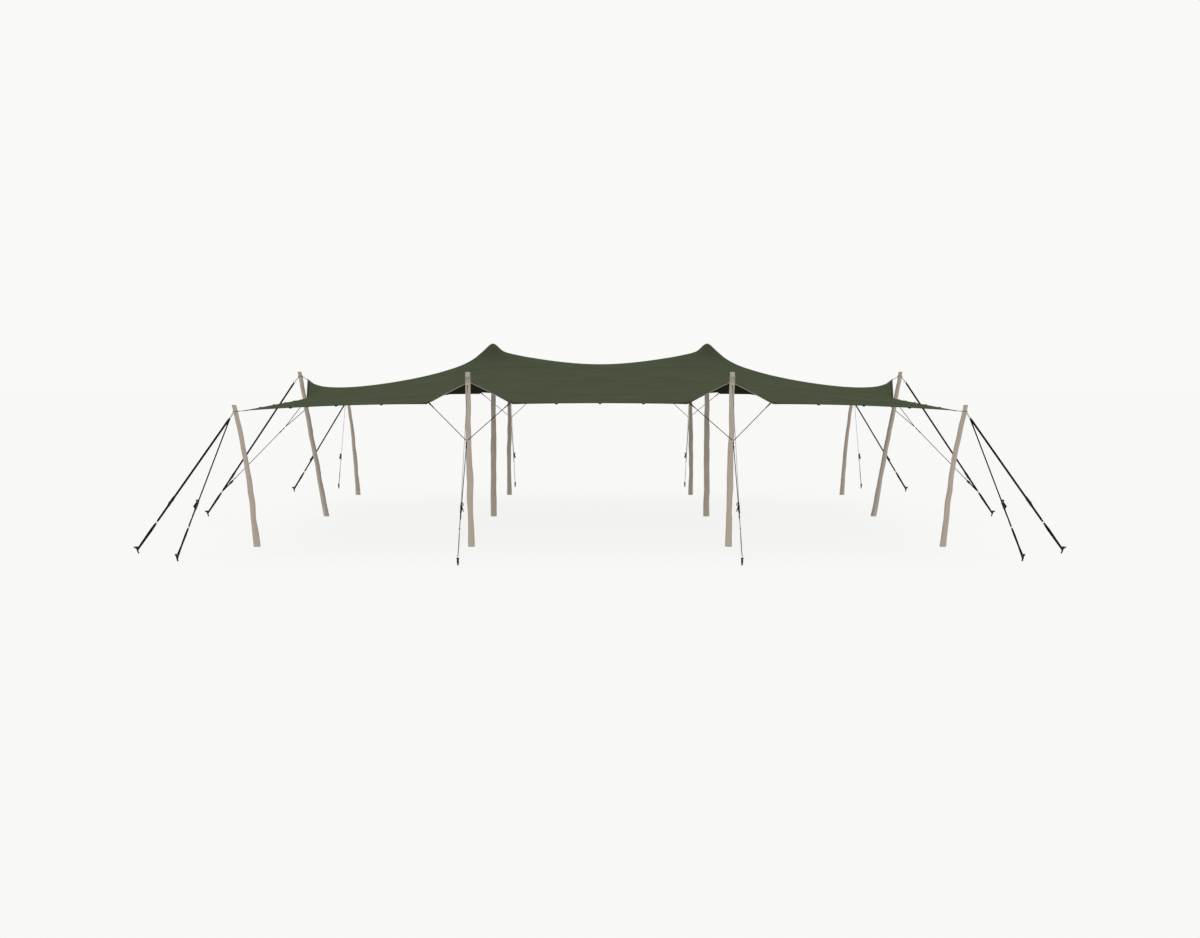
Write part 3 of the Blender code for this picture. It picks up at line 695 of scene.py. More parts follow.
class Canopy:
    """The cloth's form, worked out on a finer net than the solid's."""

    def __init__(self, corner_pole, side_pole, end_pole, king_x, king_top):
        self.king_x = king_x
        self.king_top = king_top
        self.corner_x = self.bar_at(corner_pole, CORNER_HEIGHT)[0] - CORNER_BACK
        self.corner_y = self.bar_at(corner_pole, CORNER_HEIGHT)[1] - CORNER_BACK
        self.side_tip = self.bar_at(side_pole, TIP_HEIGHT)[0] - TIP_BACK
        self.end_tip = self.bar_at(end_pole, TIP_HEIGHT)[1] - TIP_BACK
        inner = halved(stops_between(0.0, king_x - GABLE_HALF, LOOP_PITCH), 0.0)
        near = [king_x - step for step in reversed(PEAK_STEPS)]
        far = [king_x + step for step in PEAK_STEPS]
        outer = self.run_of_stops(king_x + GABLE_HALF, self.corner_x)
        self.xs = self.mirrored(inner + near + [king_x] + far + [king_x + GABLE_HALF] + outer)
        outer = self.run_of_stops(GABLE_HALF, self.corner_y)
        self.ys = self.mirrored(list(PEAK_STEPS) + [GABLE_HALF] + outer)
        self.heights = self.stretch()

    @staticmethod
    def run_of_stops(start, end):
        """Stops out to an edge, closer together near it."""
        stops = halved(stops_between(start, end, LOOP_PITCH), start)
        return stops[:-1] + [end - EDGE_LINE, end - EDGE_LINE * 0.4, end]

    @staticmethod
    def bar_at(node, z):
        """The middle of a pole's solid at a height, straight between its rings."""
        rows = levels_of(node)
        return np.interp(z, rows[:, 0], rows[:, 1]), np.interp(z, rows[:, 0], rows[:, 2])

    @staticmethod
    def mirrored(lines):
        return np.array([-x for x in reversed(lines)] + [0.0] + list(lines))

    @staticmethod
    def gable(tip, away):
        """Reach and height of a gable's hem at a distance from its tip."""
        share = away / GABLE_HALF
        bulge = GABLE_BULGE * 4 * share * (1 - share)
        return tip - GABLE_STEP * share, TIP_HEIGHT + (EDGE_HEIGHT - TIP_HEIGHT) * share + bulge

    def side_edge(self, y):
        y = abs(y)
        if y <= GABLE_HALF:
            return self.gable(self.side_tip, y)
        foot = self.side_tip - GABLE_STEP
        return self.run_to_corner(y, GABLE_HALF, self.corner_y, foot, self.corner_x)

    def end_edge(self, x):
        x = abs(x)
        foot = self.end_tip - GABLE_STEP
        away = abs(x - self.king_x)
        if away <= GABLE_HALF:
            return self.gable(self.end_tip, away)
        if x < self.king_x:
            half = self.king_x - GABLE_HALF
            rise = 1.0 - (x / half) ** 2
            return foot - EDGE_SAG * 2 * half * rise, EDGE_HEIGHT + EDGE_ARCH * rise
        return self.run_to_corner(x, self.king_x + GABLE_HALF, self.corner_x, foot, self.corner_y)

    @staticmethod
    def run_to_corner(at, start, end, reach_start, reach_end):
        share = (at - start) / (end - start)
        bow = EDGE_SAG * (end - start) * 4 * share * (1 - share)
        reach = reach_start + (reach_end - reach_start) * share - bow
        return reach, EDGE_HEIGHT + (CORNER_HEIGHT - EDGE_HEIGHT) * share ** 2

    def fixed_height(self, i, j):
        x, y = self.xs[i], self.ys[j]
        if i in (0, len(self.xs) - 1):
            return self.side_edge(y)[1]
        if j in (0, len(self.ys) - 1):
            return self.end_edge(x)[1]
        away = math.hypot(abs(x) - self.king_x, y)
        if away <= PEAK_REACH[-1] + 0.001:
            return self.king_top - float(np.interp(away, PEAK_REACH, PEAK_DROP))
        return None

    def stretch(self):
        """Heights where the cloth's pull balances, tighter between the kings and most close to them."""
        columns, rows = len(self.xs), len(self.ys)
        pull = np.zeros((columns * rows, columns * rows))
        load = np.zeros(columns * rows)
        for i in range(columns):
            for j in range(rows):
                own = i * rows + j
                held = self.fixed_height(i, j)
                if held is not None:
                    pull[own, own] = 1.0
                    load[own] = held
                    continue
                wide = (self.xs[i + 1] - self.xs[i - 1]) / 2
                deep = (self.ys[j + 1] - self.ys[j - 1]) / 2
                for di, dj in ((1, 0), (-1, 0), (0, 1), (0, -1)):
                    step = abs(self.xs[i + di] - self.xs[i]) + abs(self.ys[j + dj] - self.ys[j])
                    share = (deep if di else wide) / step
                    near = abs(self.xs[i] + self.xs[i + di]) / 2 / self.king_x
                    if di and near < 1.0:
                        share *= 1.0 + RIDGE_PULL * near ** 2 * math.exp(-(self.ys[j] / RIDGE_WIDTH) ** 2)
                    pull[own, own] += share
                    pull[own, (i + di) * rows + j + dj] -= share
        return np.linalg.solve(pull, load).reshape(columns, rows)

    def place(self, i, j):
        x, y = self.xs[i], self.ys[j]
        past_x = (self.side_edge(y)[0] - self.corner_x) * (abs(x) / self.corner_x) ** EDGE_FADE
        past_y = (self.end_edge(x)[0] - self.corner_y) * (abs(y) / self.corner_y) ** EDGE_FADE
        return (x + math.copysign(1.0, x) * past_x, y + math.copysign(1.0, y) * past_y,
                float(self.heights[i, j]))

    def is_bend(self, i, j):
        """True at the corners, tips and gable feet, where the edge turns sharply."""
        x, y = abs(self.xs[i]), abs(self.ys[j])
        on_side, on_end = i in (0, len(self.xs) - 1), j in (0, len(self.ys) - 1)
        if on_side and on_end:
            return True
        if on_side:
            return min(y, abs(y - GABLE_HALF)) < 1e-6
        if on_end:
            return min(abs(x - self.king_x), abs(abs(x - self.king_x) - GABLE_HALF)) < 1e-6
        return False

    def surface(self):
        """The open net, subdivided once, as a mesh."""
        columns, rows = len(self.xs), len(self.ys)
        points = [self.place(i, j) for i in range(columns) for j in range(rows)]
        faces = [(i * rows + j, (i + 1) * rows + j, (i + 1) * rows + j + 1, i * rows + j + 1)
                 for i in range(columns - 1) for j in range(rows - 1)]
        mesh = bpy.data.meshes.new("net")
        mesh.from_pydata(points, [], faces)
        crease = mesh.attributes.new("crease_vert", "FLOAT", "POINT")
        crease.data.foreach_set("value", [1.0 if self.is_bend(i, j) else 0.0
                                          for i in range(columns) for j in range(rows)])
        obj = bpy.data.objects.new("net", mesh)
        bpy.context.scene.collection.objects.link(obj)
        finer = obj.modifiers.new("finer", "SUBSURF")
        finer.levels = finer.render_levels = 1
        graph = bpy.context.evaluated_depsgraph_get()
        fine = bpy.data.meshes.new_from_object(obj.evaluated_get(graph))
        bpy.data.objects.remove(obj, do_unlink=True)
        return fine


def edge_loop(mesh):
    """The rim's points in order, and at each the way in along the cloth."""
    work = bmesh.new()
    work.from_mesh(mesh)
    rim = [edge for edge in work.edges if edge.is_boundary]
    start = rim[0].verts[0]
    order, last, here = [start], None, start
    while True:
        edge = next(e for e in here.link_edges if e.is_boundary and e is not last)
        here, last = edge.other_vert(here), edge
        if here is start:
            break
        order.append(here)
    points = np.array([vert.co[:] for vert in order])
    inward = []
    for vert in order:
        around = vert.link_faces
        middle = sum((face.calc_center_median() for face in around), Vector()) / len(around)
        inward.append(middle - vert.co)
    work.free()
    along = np.roll(points, -1, axis=0) - np.roll(points, 1, axis=0)
    along /= np.linalg.norm(along, axis=1)[:, None]
    inward = np.array(inward)
    inward -= along * np.sum(inward * along, axis=1)[:, None]
    inward /= np.linalg.norm(inward, axis=1)[:, None]
    return points, inward, along


def build_canopy(mesh):
    """The cloth as one closed sheet, face up and its underside down in a darker copy of the cloth that has
    shade painted into it.
    """
    obj = bpy.data.objects.new("canopy_cloth", mesh)
    mesh.materials.clear()
    mesh.materials.append(TOP_CLOTH)
    mesh.materials.append(UNDER_CLOTH_PAINTED_SHADE)
    mesh.shade_smooth()
    shell = obj.modifiers.new("thickness", "SOLIDIFY")
    shell.thickness = CLOTH
    shell.offset = 1.0
    # The inner wall takes the second material, the darker copy with painted shade.
    shell.material_offset = 1
    return placed(obj, ["canopy"])


def build_hem(points, inward, along):
    """A folded band that grips the cloth's edge all round."""
    normal = np.cross(along, inward)
    normal *= np.sign(normal[:, 2])[:, None]
    top, low = CLOTH + HEM_THICK, -HEM_THICK
    section = [(HEM_WIDTH, top - HEM_THICK * 0.9), (HEM_WIDTH - 0.003, top), (HEM_WIDTH * 0.5, top + 0.0004),
               (0.003, top), (-0.002, CLOTH / 2 + HEM_THICK * 0.6), (-0.002, CLOTH / 2 - HEM_THICK * 0.6),
               (0.003, low), (HEM_WIDTH * 0.5, low - 0.0004), (HEM_WIDTH - 0.003, low),
               (HEM_WIDTH, low + HEM_THICK * 0.9)]
    rings = [[point + way * into + rise * up for into, up in section]
             for point, way, rise in zip(points, inward, normal)]
    shape = Shape()
    shape.tube(rings, 0, closed=True)
    return shape.piece("canopy_hem", [HEM])


def on_cloth(tree, x, y):
    """The cloth's underside above a place on the ground, and its slope's normal."""
    hit, normal, _, _ = tree.ray_cast(Vector((x, y, 0.0)), Vector(UP))
    return np.array(hit), np.array(normal if normal.z > 0 else -normal)


def build_seams(canopy, tree):
    """Lapped seams between the cloth's panels, from side to side."""
    shape = Shape()
    half = SEAM_WIDTH / 2
    for y in SEAM_LINES:
        reach = canopy.side_edge(y)[0] - HEM_WIDTH * 0.7
        rings = []
        for x in np.linspace(-reach, reach, int(reach * 2 / 0.06)):
            foot = np.array([on_cloth(tree, x, y + off)[0] for off in (-half, -half / 3, half / 3, half)])
            top = foot + UP * (CLOTH + np.array((0.0004, SEAM_RISE, SEAM_RISE, 0.0004)))[:, None]
            rings.append(np.concatenate((top, (foot + UP * CLOTH * 0.4)[::-1])))
        shape.tube(rings)
    return shape.piece("canopy_seams", [HEM])


def build_patches(canopy, tree):
    """Round doublings of the cloth over the king poles."""
    shape = Shape()
    for sign in (-1, 1):
        centre = sign * canopy.king_x
        rings = []
        for radius in (0.001, 0.03, 0.06, 0.09, 0.12, 0.16, 0.20, 0.25, PATCH_RADIUS - 0.004, PATCH_RADIUS):
            lift = CLOTH + (0.0018 if radius < PATCH_RADIUS else -0.0005)
            rings.append([on_cloth(tree, centre + u * radius, v * radius)[0] + UP * lift
                          for u, v in circle(1.0, 48)])
        below = [np.array(rings[-1]) - UP * 0.001] + [np.array(ring) - UP * 0.0022 for ring in rings[-2::-1]]
        shape.tube(rings + below)
    return shape.piece("canopy_patches", [TOP_CLOTH])


def build_piping(points, inward):
    """Pale cord sewn under the hem of each front and back gable."""
    shape = Shape()
    heights = (points[:, 2] > EDGE_HEIGHT + 0.03) & (abs(points[:, 1]) > abs(points[:, 1]).max() * 0.8)
    start = int(np.argmin(heights))
    run = []
    for step in range(len(points) + 1):
        k = (start + step) % len(points)
        if heights[k]:
            run.append(points[k] + inward[k] * 0.006 - UP * 0.004)
            continue
        if len(run) > 4:
            path = resampled(run, 0.02)
            shape.cord(path, PIPING_RADIUS)
        run = []
    return shape.piece("gable_piping", [FIBRE])


def loop_spots(canopy):
    """Where each loop sits on the cloth's edge, and its way out."""
    loop_x = [0.0] + stops_between(0.0, canopy.king_x - GABLE_HALF, LOOP_PITCH)[:-1] \
        + stops_between(canopy.king_x + GABLE_HALF, canopy.corner_x, LOOP_PITCH)[:-1]
    loop_y = stops_between(GABLE_HALF, canopy.corner_y, LOOP_PITCH)[:-1]
    spots = []
    for sign in (-1, 1):
        for x in sorted({round(s * x, 6) + 0.0 for x in loop_x for s in (-1, 1)}):
            reach, height = canopy.end_edge(x)
            spots.append((np.array((x, sign * reach, height)), np.array((0.0, sign, 0.0))))
        for y in sorted({s * y for y in loop_y for s in (-1, 1)}):
            reach, height = canopy.side_edge(y)
            spots.append((np.array((sign * reach, y, height)), np.array((sign, 0.0, 0.0))))
    return spots


def build_loops(tree, spots):
    """Webbing folded round a toggle, with an eyelet, sewn along the edge at an even pitch."""
    shape = Shape()
    for spot, out in spots:
        flat = unit((out[0], out[1], 0.0))
        inside = spot - flat * 0.035
        base, normal = on_cloth(tree, inside[0], inside[1])
        across = unit(np.cross(normal, flat))
        away = unit(np.cross(across, normal))
        toggle = base + away * (0.038 + TOGGLE_RADIUS)
        radius = TOGGLE_RADIUS + 0.0014
        bend = [toggle + (away * math.cos(a) + normal * math.sin(a)) * radius
                for a in np.linspace(math.pi * 0.42, -math.pi * 0.42, 9)]
        sewn, shut = base - away * 0.020, base + away * 0.034
        route = [sewn + normal * (CLOTH + 0.0026), shut + normal * (CLOTH + 0.0030)]
        route += bend + [shut - normal * 0.0032, sewn - normal * 0.0026]
        shape.strip(resampled(route, 0.004), LOOP_WIDTH, across, thick=TAB_THICK)
        half = across * (LOOP_WIDTH / 2 + 0.003)
        shape.bar(toggle - half, toggle + half, TOGGLE_RADIUS, 2, 14)
        eyelet = base + away * 0.016 + normal * (CLOTH + 0.0046)
        shape.hoop(eyelet, normal, 0.0055, 0.0016, 1, 18, 6)
    return shape.piece("edge_loops", [BLACK_WEB, ZINC, RUBBER])


# Ropes, straps and stakes

def line_frame(start, end):
    """A frame with X down the line, Z square to it in its upright plane, and Y level."""
    along = Vector(end - start).normalized()
    level = Vector(UP).cross(along).normalized()
    turn = Matrix((along, level, along.cross(level))).transposed().to_4x4()
    return Matrix.Translation(start) @ turn


def distance_at_height(start, end, z):
    return float(np.linalg.norm(end - start) * (start[2] - z) / (start[2] - end[2]))


def lay_rope(shape, path):
    """Laid rope of three strands along a path."""
    path = resampled(path, ROPE_RADIUS * 0.85)
    turn = measure(path) * math.tau / ROPE_LAY
    shape.tube(swept(path, laid(ROPE_RADIUS, 12), turn=turn))


def bight(start, around, end, wire, level):
    """A doubled run: from start round a wire and back to end."""
    way = unit(around - (start + end) / 2)
    reach = wire + ROPE_RADIUS
    before, after = around - way * 0.03, around + way * reach
    return softened([start, before + level * reach, around + level * reach * 1.05,
                     after + level * reach * 0.6, after - level * reach * 0.6,
                     around - level * reach * 1.05, before - level * reach, end], 0.005)


def head_rope(name, pole, wrap_z, out, ring, ring_axis, tip):
    """Turns of rope round the pole's head, a bight to the guy ring and one to the tip's ring."""
    shape = Shape()
    level = np.cross(UP, out)
    pitch = ROPE_RADIUS * 2.02
    turns = np.linspace(0.0, WRAP_TURNS, int(WRAP_TURNS * 60))
    low = wrap_z - pitch * WRAP_TURNS / 2
    helix = []
    for turn in turns:
        z = low + pitch * turn
        angle = turn * math.tau + math.atan2(out[1], out[0])
        reach = pole.skin(z, angle) + ROPE_RADIUS * 0.96
        helix.append(pole.axis(z) + np.array((math.cos(angle), math.sin(angle), 0.0)) * reach)
    lay_rope(shape, helix)
    centre = pole.axis(wrap_z)
    side = pole.radius(wrap_z) * 0.85
    for away, target, wire in ((out, ring - unit(ring - centre) * RING_RADIUS, RING_WIRE),
                               (-out, tip + out * TIP_RING_RADIUS, TIP_RING_WIRE)):
        near = centre + away * pole.radius(wrap_z) * 0.5 + away * ROPE_RADIUS
        lay_rope(shape, bight(near + level * side, target, near - level * side, wire, level))
    shape.hoop(ring, ring_axis, RING_RADIUS, RING_WIRE, 1)
    shape.hoop(tip + out * 0.003, level, TIP_RING_RADIUS, TIP_RING_WIRE, 1, 24, 8)
    shape.piece(f"rope_{name}", [FIBRE, ZINC], [f"head_rope_{name}"])


def tip_tab(shape, tip, out, tree):
    """Folded webbing that holds the tip's ring to the cloth."""
    inside = tip - out * 0.10
    base, normal = on_cloth(tree, inside[0], inside[1])
    level = np.cross(UP, out)
    upper = base + normal * (CLOTH + 0.003)
    lower = base - normal * 0.003
    route = [upper, tip - out * 0.014 + UP * 0.007, tip + out * 0.003 + UP * 0.003,
             tip + out * 0.003 - UP * 0.003, tip - out * 0.014 - UP * 0.005, lower]
    shape.strip(softened(route, 0.006, 2), TAB_WIDTH, level, thick=TAB_THICK)


def eye_path(wire_x):
    """A strip's way round a wire, in the line's X and Y."""
    radius = RING_WIRE + STRAP_THICK * 0.7
    turn = np.linspace(-math.pi / 2, math.pi / 2, 13)
    return [(wire_x - math.cos(a) * radius, math.sin(a) * radius, 0.0) for a in turn]


def narrowed(path, wire_x):
    """The webbing's share of its width: gathered at the ring, full further down."""
    share = np.clip((abs(path[:, 0] - wire_x) - 0.010) / 0.030, 0.0, 1.0)
    share = share * share * (3 - 2 * share)
    return (EYE_WIDTH + (STRAP_WIDTH - EYE_WIDTH) * share) / STRAP_WIDTH


def strap_run(shape, start_x, end_x, loop_at_start, loop_at_end):
    """Webbing between two wires or to a point, folded round each wire and sewn back."""
    thick = STRAP_THICK
    route = []
    if loop_at_start:
        route += [(start_x + LAP_END, -thick, 0.0), (start_x + FOLD_SHUT, -thick * 1.1, 0.0)]
        route += eye_path(start_x)
        route += [(start_x + FOLD_SHUT, thick * 0.4, 0.0), (start_x + LAP_FADED, 0.0, 0.0)]
    else:
        route.append((start_x, 0.0, 0.0))
    if loop_at_end:
        route += [(end_x - LAP_FADED, 0.0, 0.0), (end_x - FOLD_SHUT, thick * 0.4, 0.0)]
        route += [(2 * end_x - x, -y, z) for x, y, z in eye_path(end_x)]
        route += [(end_x - FOLD_SHUT, -thick * 1.1, 0.0), (end_x - FOOT_LAP_END, -thick, 0.0)]
    else:
        route.append((end_x, 0.0, 0.0))
    path = resampled(route, 0.004 if end_x - start_x < 0.6 else 0.006)
    scale = narrowed(path, end_x if loop_at_end else start_x)
    shape.strip(path, STRAP_WIDTH, UP, scale)


def toothed(centre, radius, teeth, depth):
    """Outline of a ratchet wheel."""
    points = []
    for tooth in range(teeth):
        for share, reach in ((0.0, radius), (0.55, radius), (0.75, radius - depth)):
            angle = (tooth + share) * math.tau / teeth
            points.append((centre[0] + math.cos(angle) * reach, centre[1] + math.sin(angle) * reach))
    return points


def lozenge(start, end, wide_start, wide_end, steps=7):
    """Outline of a link with a round end at each point."""
    start, end = np.array(start, float), np.array(end, float)
    way = unit(end - start)
    left = np.array((-way[1], way[0]))
    points = []
    for centre, half, base in ((end, wide_end, 0.0), (start, wide_start, math.pi)):
        for k in range(steps):
            angle = base - math.pi / 2 + math.pi * k / (steps - 1)
            points.append(centre + way * math.cos(angle) * half + left * math.sin(angle) * half)
    return points


def ratchet(shape, at, side):
    """Channel frame, wheels, spool with its loose roll of strap, and the closed handle."""
    roll = at + RATCHET_LENGTH * ROLL_SHARE
    middle = side * RATCHET_DEPTH / 2
    foot = at + RATCHET_LENGTH - FOOT_BAR_UP
    spool, off = roll + SPOOL_DOWN, side * SPOOL_OFF
    grip = roll + HANDLE_LENGTH
    far = side * (RATCHET_DEPTH + 0.002)
    inner = RATCHET_HALF
    for sign in (-1, 1):
        levels = [sorted((sign * z, sign * (z + 0.0017))) for z in (inner, inner + 0.0019, inner + 0.0038)]
        shape.plate(lozenge((spool, off), (foot, side * 0.003), 0.015, 0.010), *levels[0], 1)
        shape.plate(toothed((spool, off), 0.0165, 13, 0.0035), *levels[1], 1)
        shape.plate(lozenge((spool, side * 0.009), (grip, far), 0.010, 0.006), *levels[2], 1)
        shape.bar((foot, 0.0, sign * (inner + 0.001)), (foot, 0.0, sign * (inner + 0.0045)), 0.006, 1, 6)
        shape.bar((spool, off, sign * (inner + 0.0050)), (spool, off, sign * (inner + 0.0075)), 0.0055, 2, 6)
    shape.bar((spool, off, -inner - 0.005), (spool, off, inner + 0.005), 0.0085, 1)
    shape.bar((foot, 0.0, -inner - 0.002), (foot, 0.0, inner + 0.002), RING_WIRE, 1)
    shape.bar((grip, far, -inner - 0.0065), (grip, far, inner + 0.0065), 0.0080, 3)
    floor = [(spool - 0.010, -inner), (foot - 0.004, -inner), (foot - 0.004, inner), (spool - 0.010, inner)]
    lie = shape.place
    shape.place = lie @ Matrix.Rotation(math.pi / 2, 4, "X")
    shape.plate(floor, side * 0.004 - 0.0012, side * 0.004 + 0.0012, 1)
    shape.place = lie
    lid = [(spool + 0.012, side * 0.014), (spool + 0.045, side * 0.020), (grip, far)]
    path = softened([(x, y, 0.0) for x, y in lid], 0.010)
    wide = np.interp(path[:, 0], (spool + 0.045, spool + 0.060), (1.0, 1.20))
    shape.strip(path, inner * 2 - 0.0006, UP, wide, TAB_THICK, 1)
    turn = np.linspace(0.0, math.tau * 1.4, 56)
    reach = ROLL_RADIUS + 0.001 - STRAP_THICK / 2 - 0.0050 * turn / turn[-1]
    wound = [(roll + math.sin(a) * r, middle - side * math.cos(a) * r, 0.0) for a, r in zip(turn, reach)]
    shape.strip(np.array(wound), STRAP_WIDTH, UP)


def sling(shape, hook, length, place, stake):
    """A band of webbing from the hook's ring round the stake, widest a quarter of the way down."""
    near = hook + HOOK_RADIUS
    small, large = HOOK_WIRE + STRAP_THICK * 0.7, STAKE_RADIUS + STRAP_THICK * 0.7
    turn = np.linspace(-math.pi / 2, math.pi / 2, 11)
    first = [(near - math.cos(a) * small, math.sin(a) * small, 0.0) for a in turn]
    last = [(length + math.cos(a) * large, math.sin(a) * large, 0.0) for a in -turn]
    middle = near + (length - near) * 0.60
    belly = large * 0.16
    path = resampled(first + [(middle, belly, 0.0)] + last + [(middle, -belly, 0.0)] + first[:1], 0.008)[:-1]
    stake_axis = unit(place.inverted().to_3x3() @ Vector(stake))
    toward = np.clip((path[:, 0] - middle) / (length - middle), 0.0, 1.0)[:, None]
    across = (1 - toward) * UP + toward * stake_axis
    down = (path[:, 0] - near) / (length - near)
    width = np.interp(down, (0.0, 0.10, 0.25, 0.6, 1.0),
                      (EYE_WIDTH, 0.038, SLING_WIDTH, 0.040, SLING_END_WIDTH))
    shape.strip(path, SLING_WIDTH, across, width / SLING_WIDTH, closed=True)


def guy_strap(name, ring, stake_foot, stake_top, handle_side):
    """A taut strap with its ratchet, hook ring and sling."""
    lean = (stake_top - stake_foot) / (stake_top[2] - stake_foot[2])
    end = stake_foot + lean * (SLING_AT_STAKE - stake_foot[2])
    place = line_frame(ring, end)
    length = float(np.linalg.norm(end - ring))
    side = 1 if place.col[1].to_3d().dot(Vector(handle_side)) > 0 else -1
    at = distance_at_height(ring, end, RATCHET_HEIGHT)
    hook = distance_at_height(ring, end, HOOK_HEIGHT)
    shape = Shape(place)
    roll = at + RATCHET_LENGTH * ROLL_SHARE
    strap_run(shape, RING_RADIUS, roll + SPOOL_DOWN, True, False)
    ratchet(shape, at, side)
    strap_run(shape, at + RATCHET_LENGTH - FOOT_BAR_UP, hook - HOOK_RADIUS, True, True)
    shape.hoop((hook, 0.0, 0.0), (0.0, 1.0, 0.0), HOOK_RADIUS, HOOK_WIRE, 2)
    sling(shape, hook, length, place, lean)
    shape.piece(f"strap_{name}", [BLACK_WEB, STEEL, ZINC, RUBBER], [f"guy_strap_{name}"])


def ground_stake(name, foot, top):
    """Forged stake above the ground: bar, beaten head and a horn that keeps the sling down."""
    height = top[2] - foot[2]
    lean = (top - foot) / height
    profile = [(0.0135, 0.0), (STAKE_RADIUS, 0.004), (STAKE_RADIUS, 0.078), (0.0150, STAKE_HEAD),
               (0.0150, 0.090), (0.0165, 0.096), (0.021, 0.102), (0.0235, 0.106), (0.0240, 0.111),
               (0.022, 0.115), (0.012, 0.118)]
    luck = int(abs(foot[0]) * 100 + abs(foot[1]) * 10)
    shape = Shape()
    rings = []
    for radius, z in profile:
        ring = []
        for u, v in circle(1.0, 20):
            beaten = 1 + 0.05 * noise.noise((u * 2, v * 2, luck + z * 30))
            ring.append(foot + lean * z + np.array((u, v, 0.0)) * radius * beaten)
        rings.append(ring)
    shape.tube(rings)
    away = unit((lean[0], lean[1], 0.0))
    root = foot + lean * STAKE_HEAD
    horn = ((0.0, 0.0), (0.026, 0.004), (0.044, 0.020), (0.048, 0.034))
    path = softened([root + away * out + UP * up for out, up in horn], 0.006, 2)
    taper = np.linspace(1.0, 0.7, len(path))
    shape.tube(scaled_rings(swept(path, circle(0.009, 10)), taper))
    shape.piece(f"ground_{name}", [STEEL], [name])


def bead(shape, path_at, way, radius, length, slot):
    """A small turned stop on a cord."""
    path = np.array([path_at + way * length * s for s in (-0.5, -0.4, -0.15, 0.15, 0.4, 0.5)])
    shape.tube(scaled_rings(swept(path, circle(radius, 12)), (0.6, 0.85, 1.0, 1.0, 0.85, 0.6)), slot)


def buckle(shape, start, end):
    """A small wedge-shaped cam buckle: back plate, side walls, cam lever, and bars at both ends."""
    lie = line_frame(start, end) @ Matrix.Rotation(math.pi / 2, 4, "X")
    shape.place = lie
    wedge = [(0.0, -0.009), (0.0, 0.009), (0.030, 0.019), (0.085, 0.0225), (TENSIONER_LENGTH - 0.004, 0.020),
             (TENSIONER_LENGTH - 0.004, -0.020), (0.085, -0.0225), (0.030, -0.019)]
    shape.plate(wedge, -0.0075, -0.0050, 1)
    lever = [(0.022, -0.012), (0.022, 0.012), (0.060, 0.019),
             (0.088, 0.019), (0.088, -0.019), (0.060, -0.019)]
    shape.plate(lever, 0.0055, 0.0085, 1)
    wall = ((0.030, 0.0190), (0.085, 0.0222), (0.085, 0.0200), (0.030, 0.0168))
    for sign in (-1, 1):
        shape.plate([(x, sign * y) for x, y in wall], -0.0055, 0.0070, 1)
    pins = ((0.012, 0.015, 0.0045, 2), (0.052, 0.021, 0.0065, 3),
            (TENSIONER_LENGTH - 0.010, 0.022, 0.0045, 2))
    for x, half, radius, slot in pins:
        shape.bar((x, -half, 0.0), (x, half, 0.0), radius, slot)


def bridle(name, ring, end, feet):
    """The V of cord under a gable, its stops, and the tail with its buckle and webbing."""
    middle = (feet[0] + feet[1]) / 2
    hook = ring + unit(end - ring) * distance_at_height(ring, end, HOOK_HEIGHT)
    knot = middle + unit(hook - middle) * distance_at_height(middle, hook, BRIDLE_HEIGHT)
    tail = unit(hook - knot)
    shape = Shape()
    axis = unit(np.cross(feet[1] - feet[0], tail))
    for foot in feet:
        way = unit(foot - knot)
        across = unit(np.cross(way, axis))
        loop = foot - way * BRIDLE_LOOP
        strip = softened([foot - way * 0.002, loop - way * 0.004 + axis * 0.008, loop - way * 0.018,
                          loop - way * 0.004 - axis * 0.008, foot - way * 0.004], 0.005, 2)
        shape.strip(strip, TAB_WIDTH, across, thick=0.0024)
        shape.cord(resampled([knot + way * CORD_GAP, loop - way * 0.006], 0.05), CORD_RADIUS, 4)
        bead(shape, loop - way * 0.040, way, 0.0120, 0.034, 3)
        bead(shape, loop - way * 0.085, way, 0.0105, 0.026, 3)
    shape.hoop(knot, axis, 0.016, 0.0038, 2, 24, 8)
    top = knot + tail * distance_at_height(knot, hook, TENSIONER_HEIGHT)
    foot = top + tail * TENSIONER_LENGTH
    shape.cord(resampled([knot + tail * CORD_GAP, top + tail * 0.016], 0.05), CORD_RADIUS, 4)
    for step in (0.045, 0.120, 0.150):
        bead(shape, knot + tail * step, tail, 0.0120, 0.026, 3)
    bead(shape, top - tail * 0.045, tail, 0.0125, 0.024, 3)
    level = np.cross(UP, tail)
    upright = unit(np.cross(tail, level))
    strip = resampled([foot - tail * 0.010, hook - tail * (HOOK_RADIUS + 0.004)], 0.02)
    shape.strip(strip, TAIL_WIDTH, upright)
    bead(shape, hook - tail * (HOOK_RADIUS + 0.012), tail, 0.012, 0.022, 2)
    buckle(shape, top, foot)
    shape.piece(f"cord_{name}", [BLACK_WEB, STEEL, ZINC, RUBBER, CORD], [name])


def stake_ends(node):
    rows = levels_of(node)
    return np.array((rows[0, 1], rows[0, 2], rows[0, 0])), np.array((rows[-1, 1], rows[-1, 2], rows[-1, 0]))


# Scene

def build_camera():
    data = bpy.data.cameras.new("camera")
    data.sensor_width = SENSOR
    data.lens = SENSOR * FOCAL_PIXELS / PHOTO_WIDTH
    data.clip_end = 400.0
    camera = bpy.data.objects.new("camera", data)
    camera.location = (0.0, -CAMERA_BACK, CAMERA_HEIGHT)
    camera.rotation_euler = (math.pi / 2 - CAMERA_PITCH, 0.0, 0.0)
    bpy.context.scene.collection.objects.link(camera)
    bpy.context.scene.camera = camera


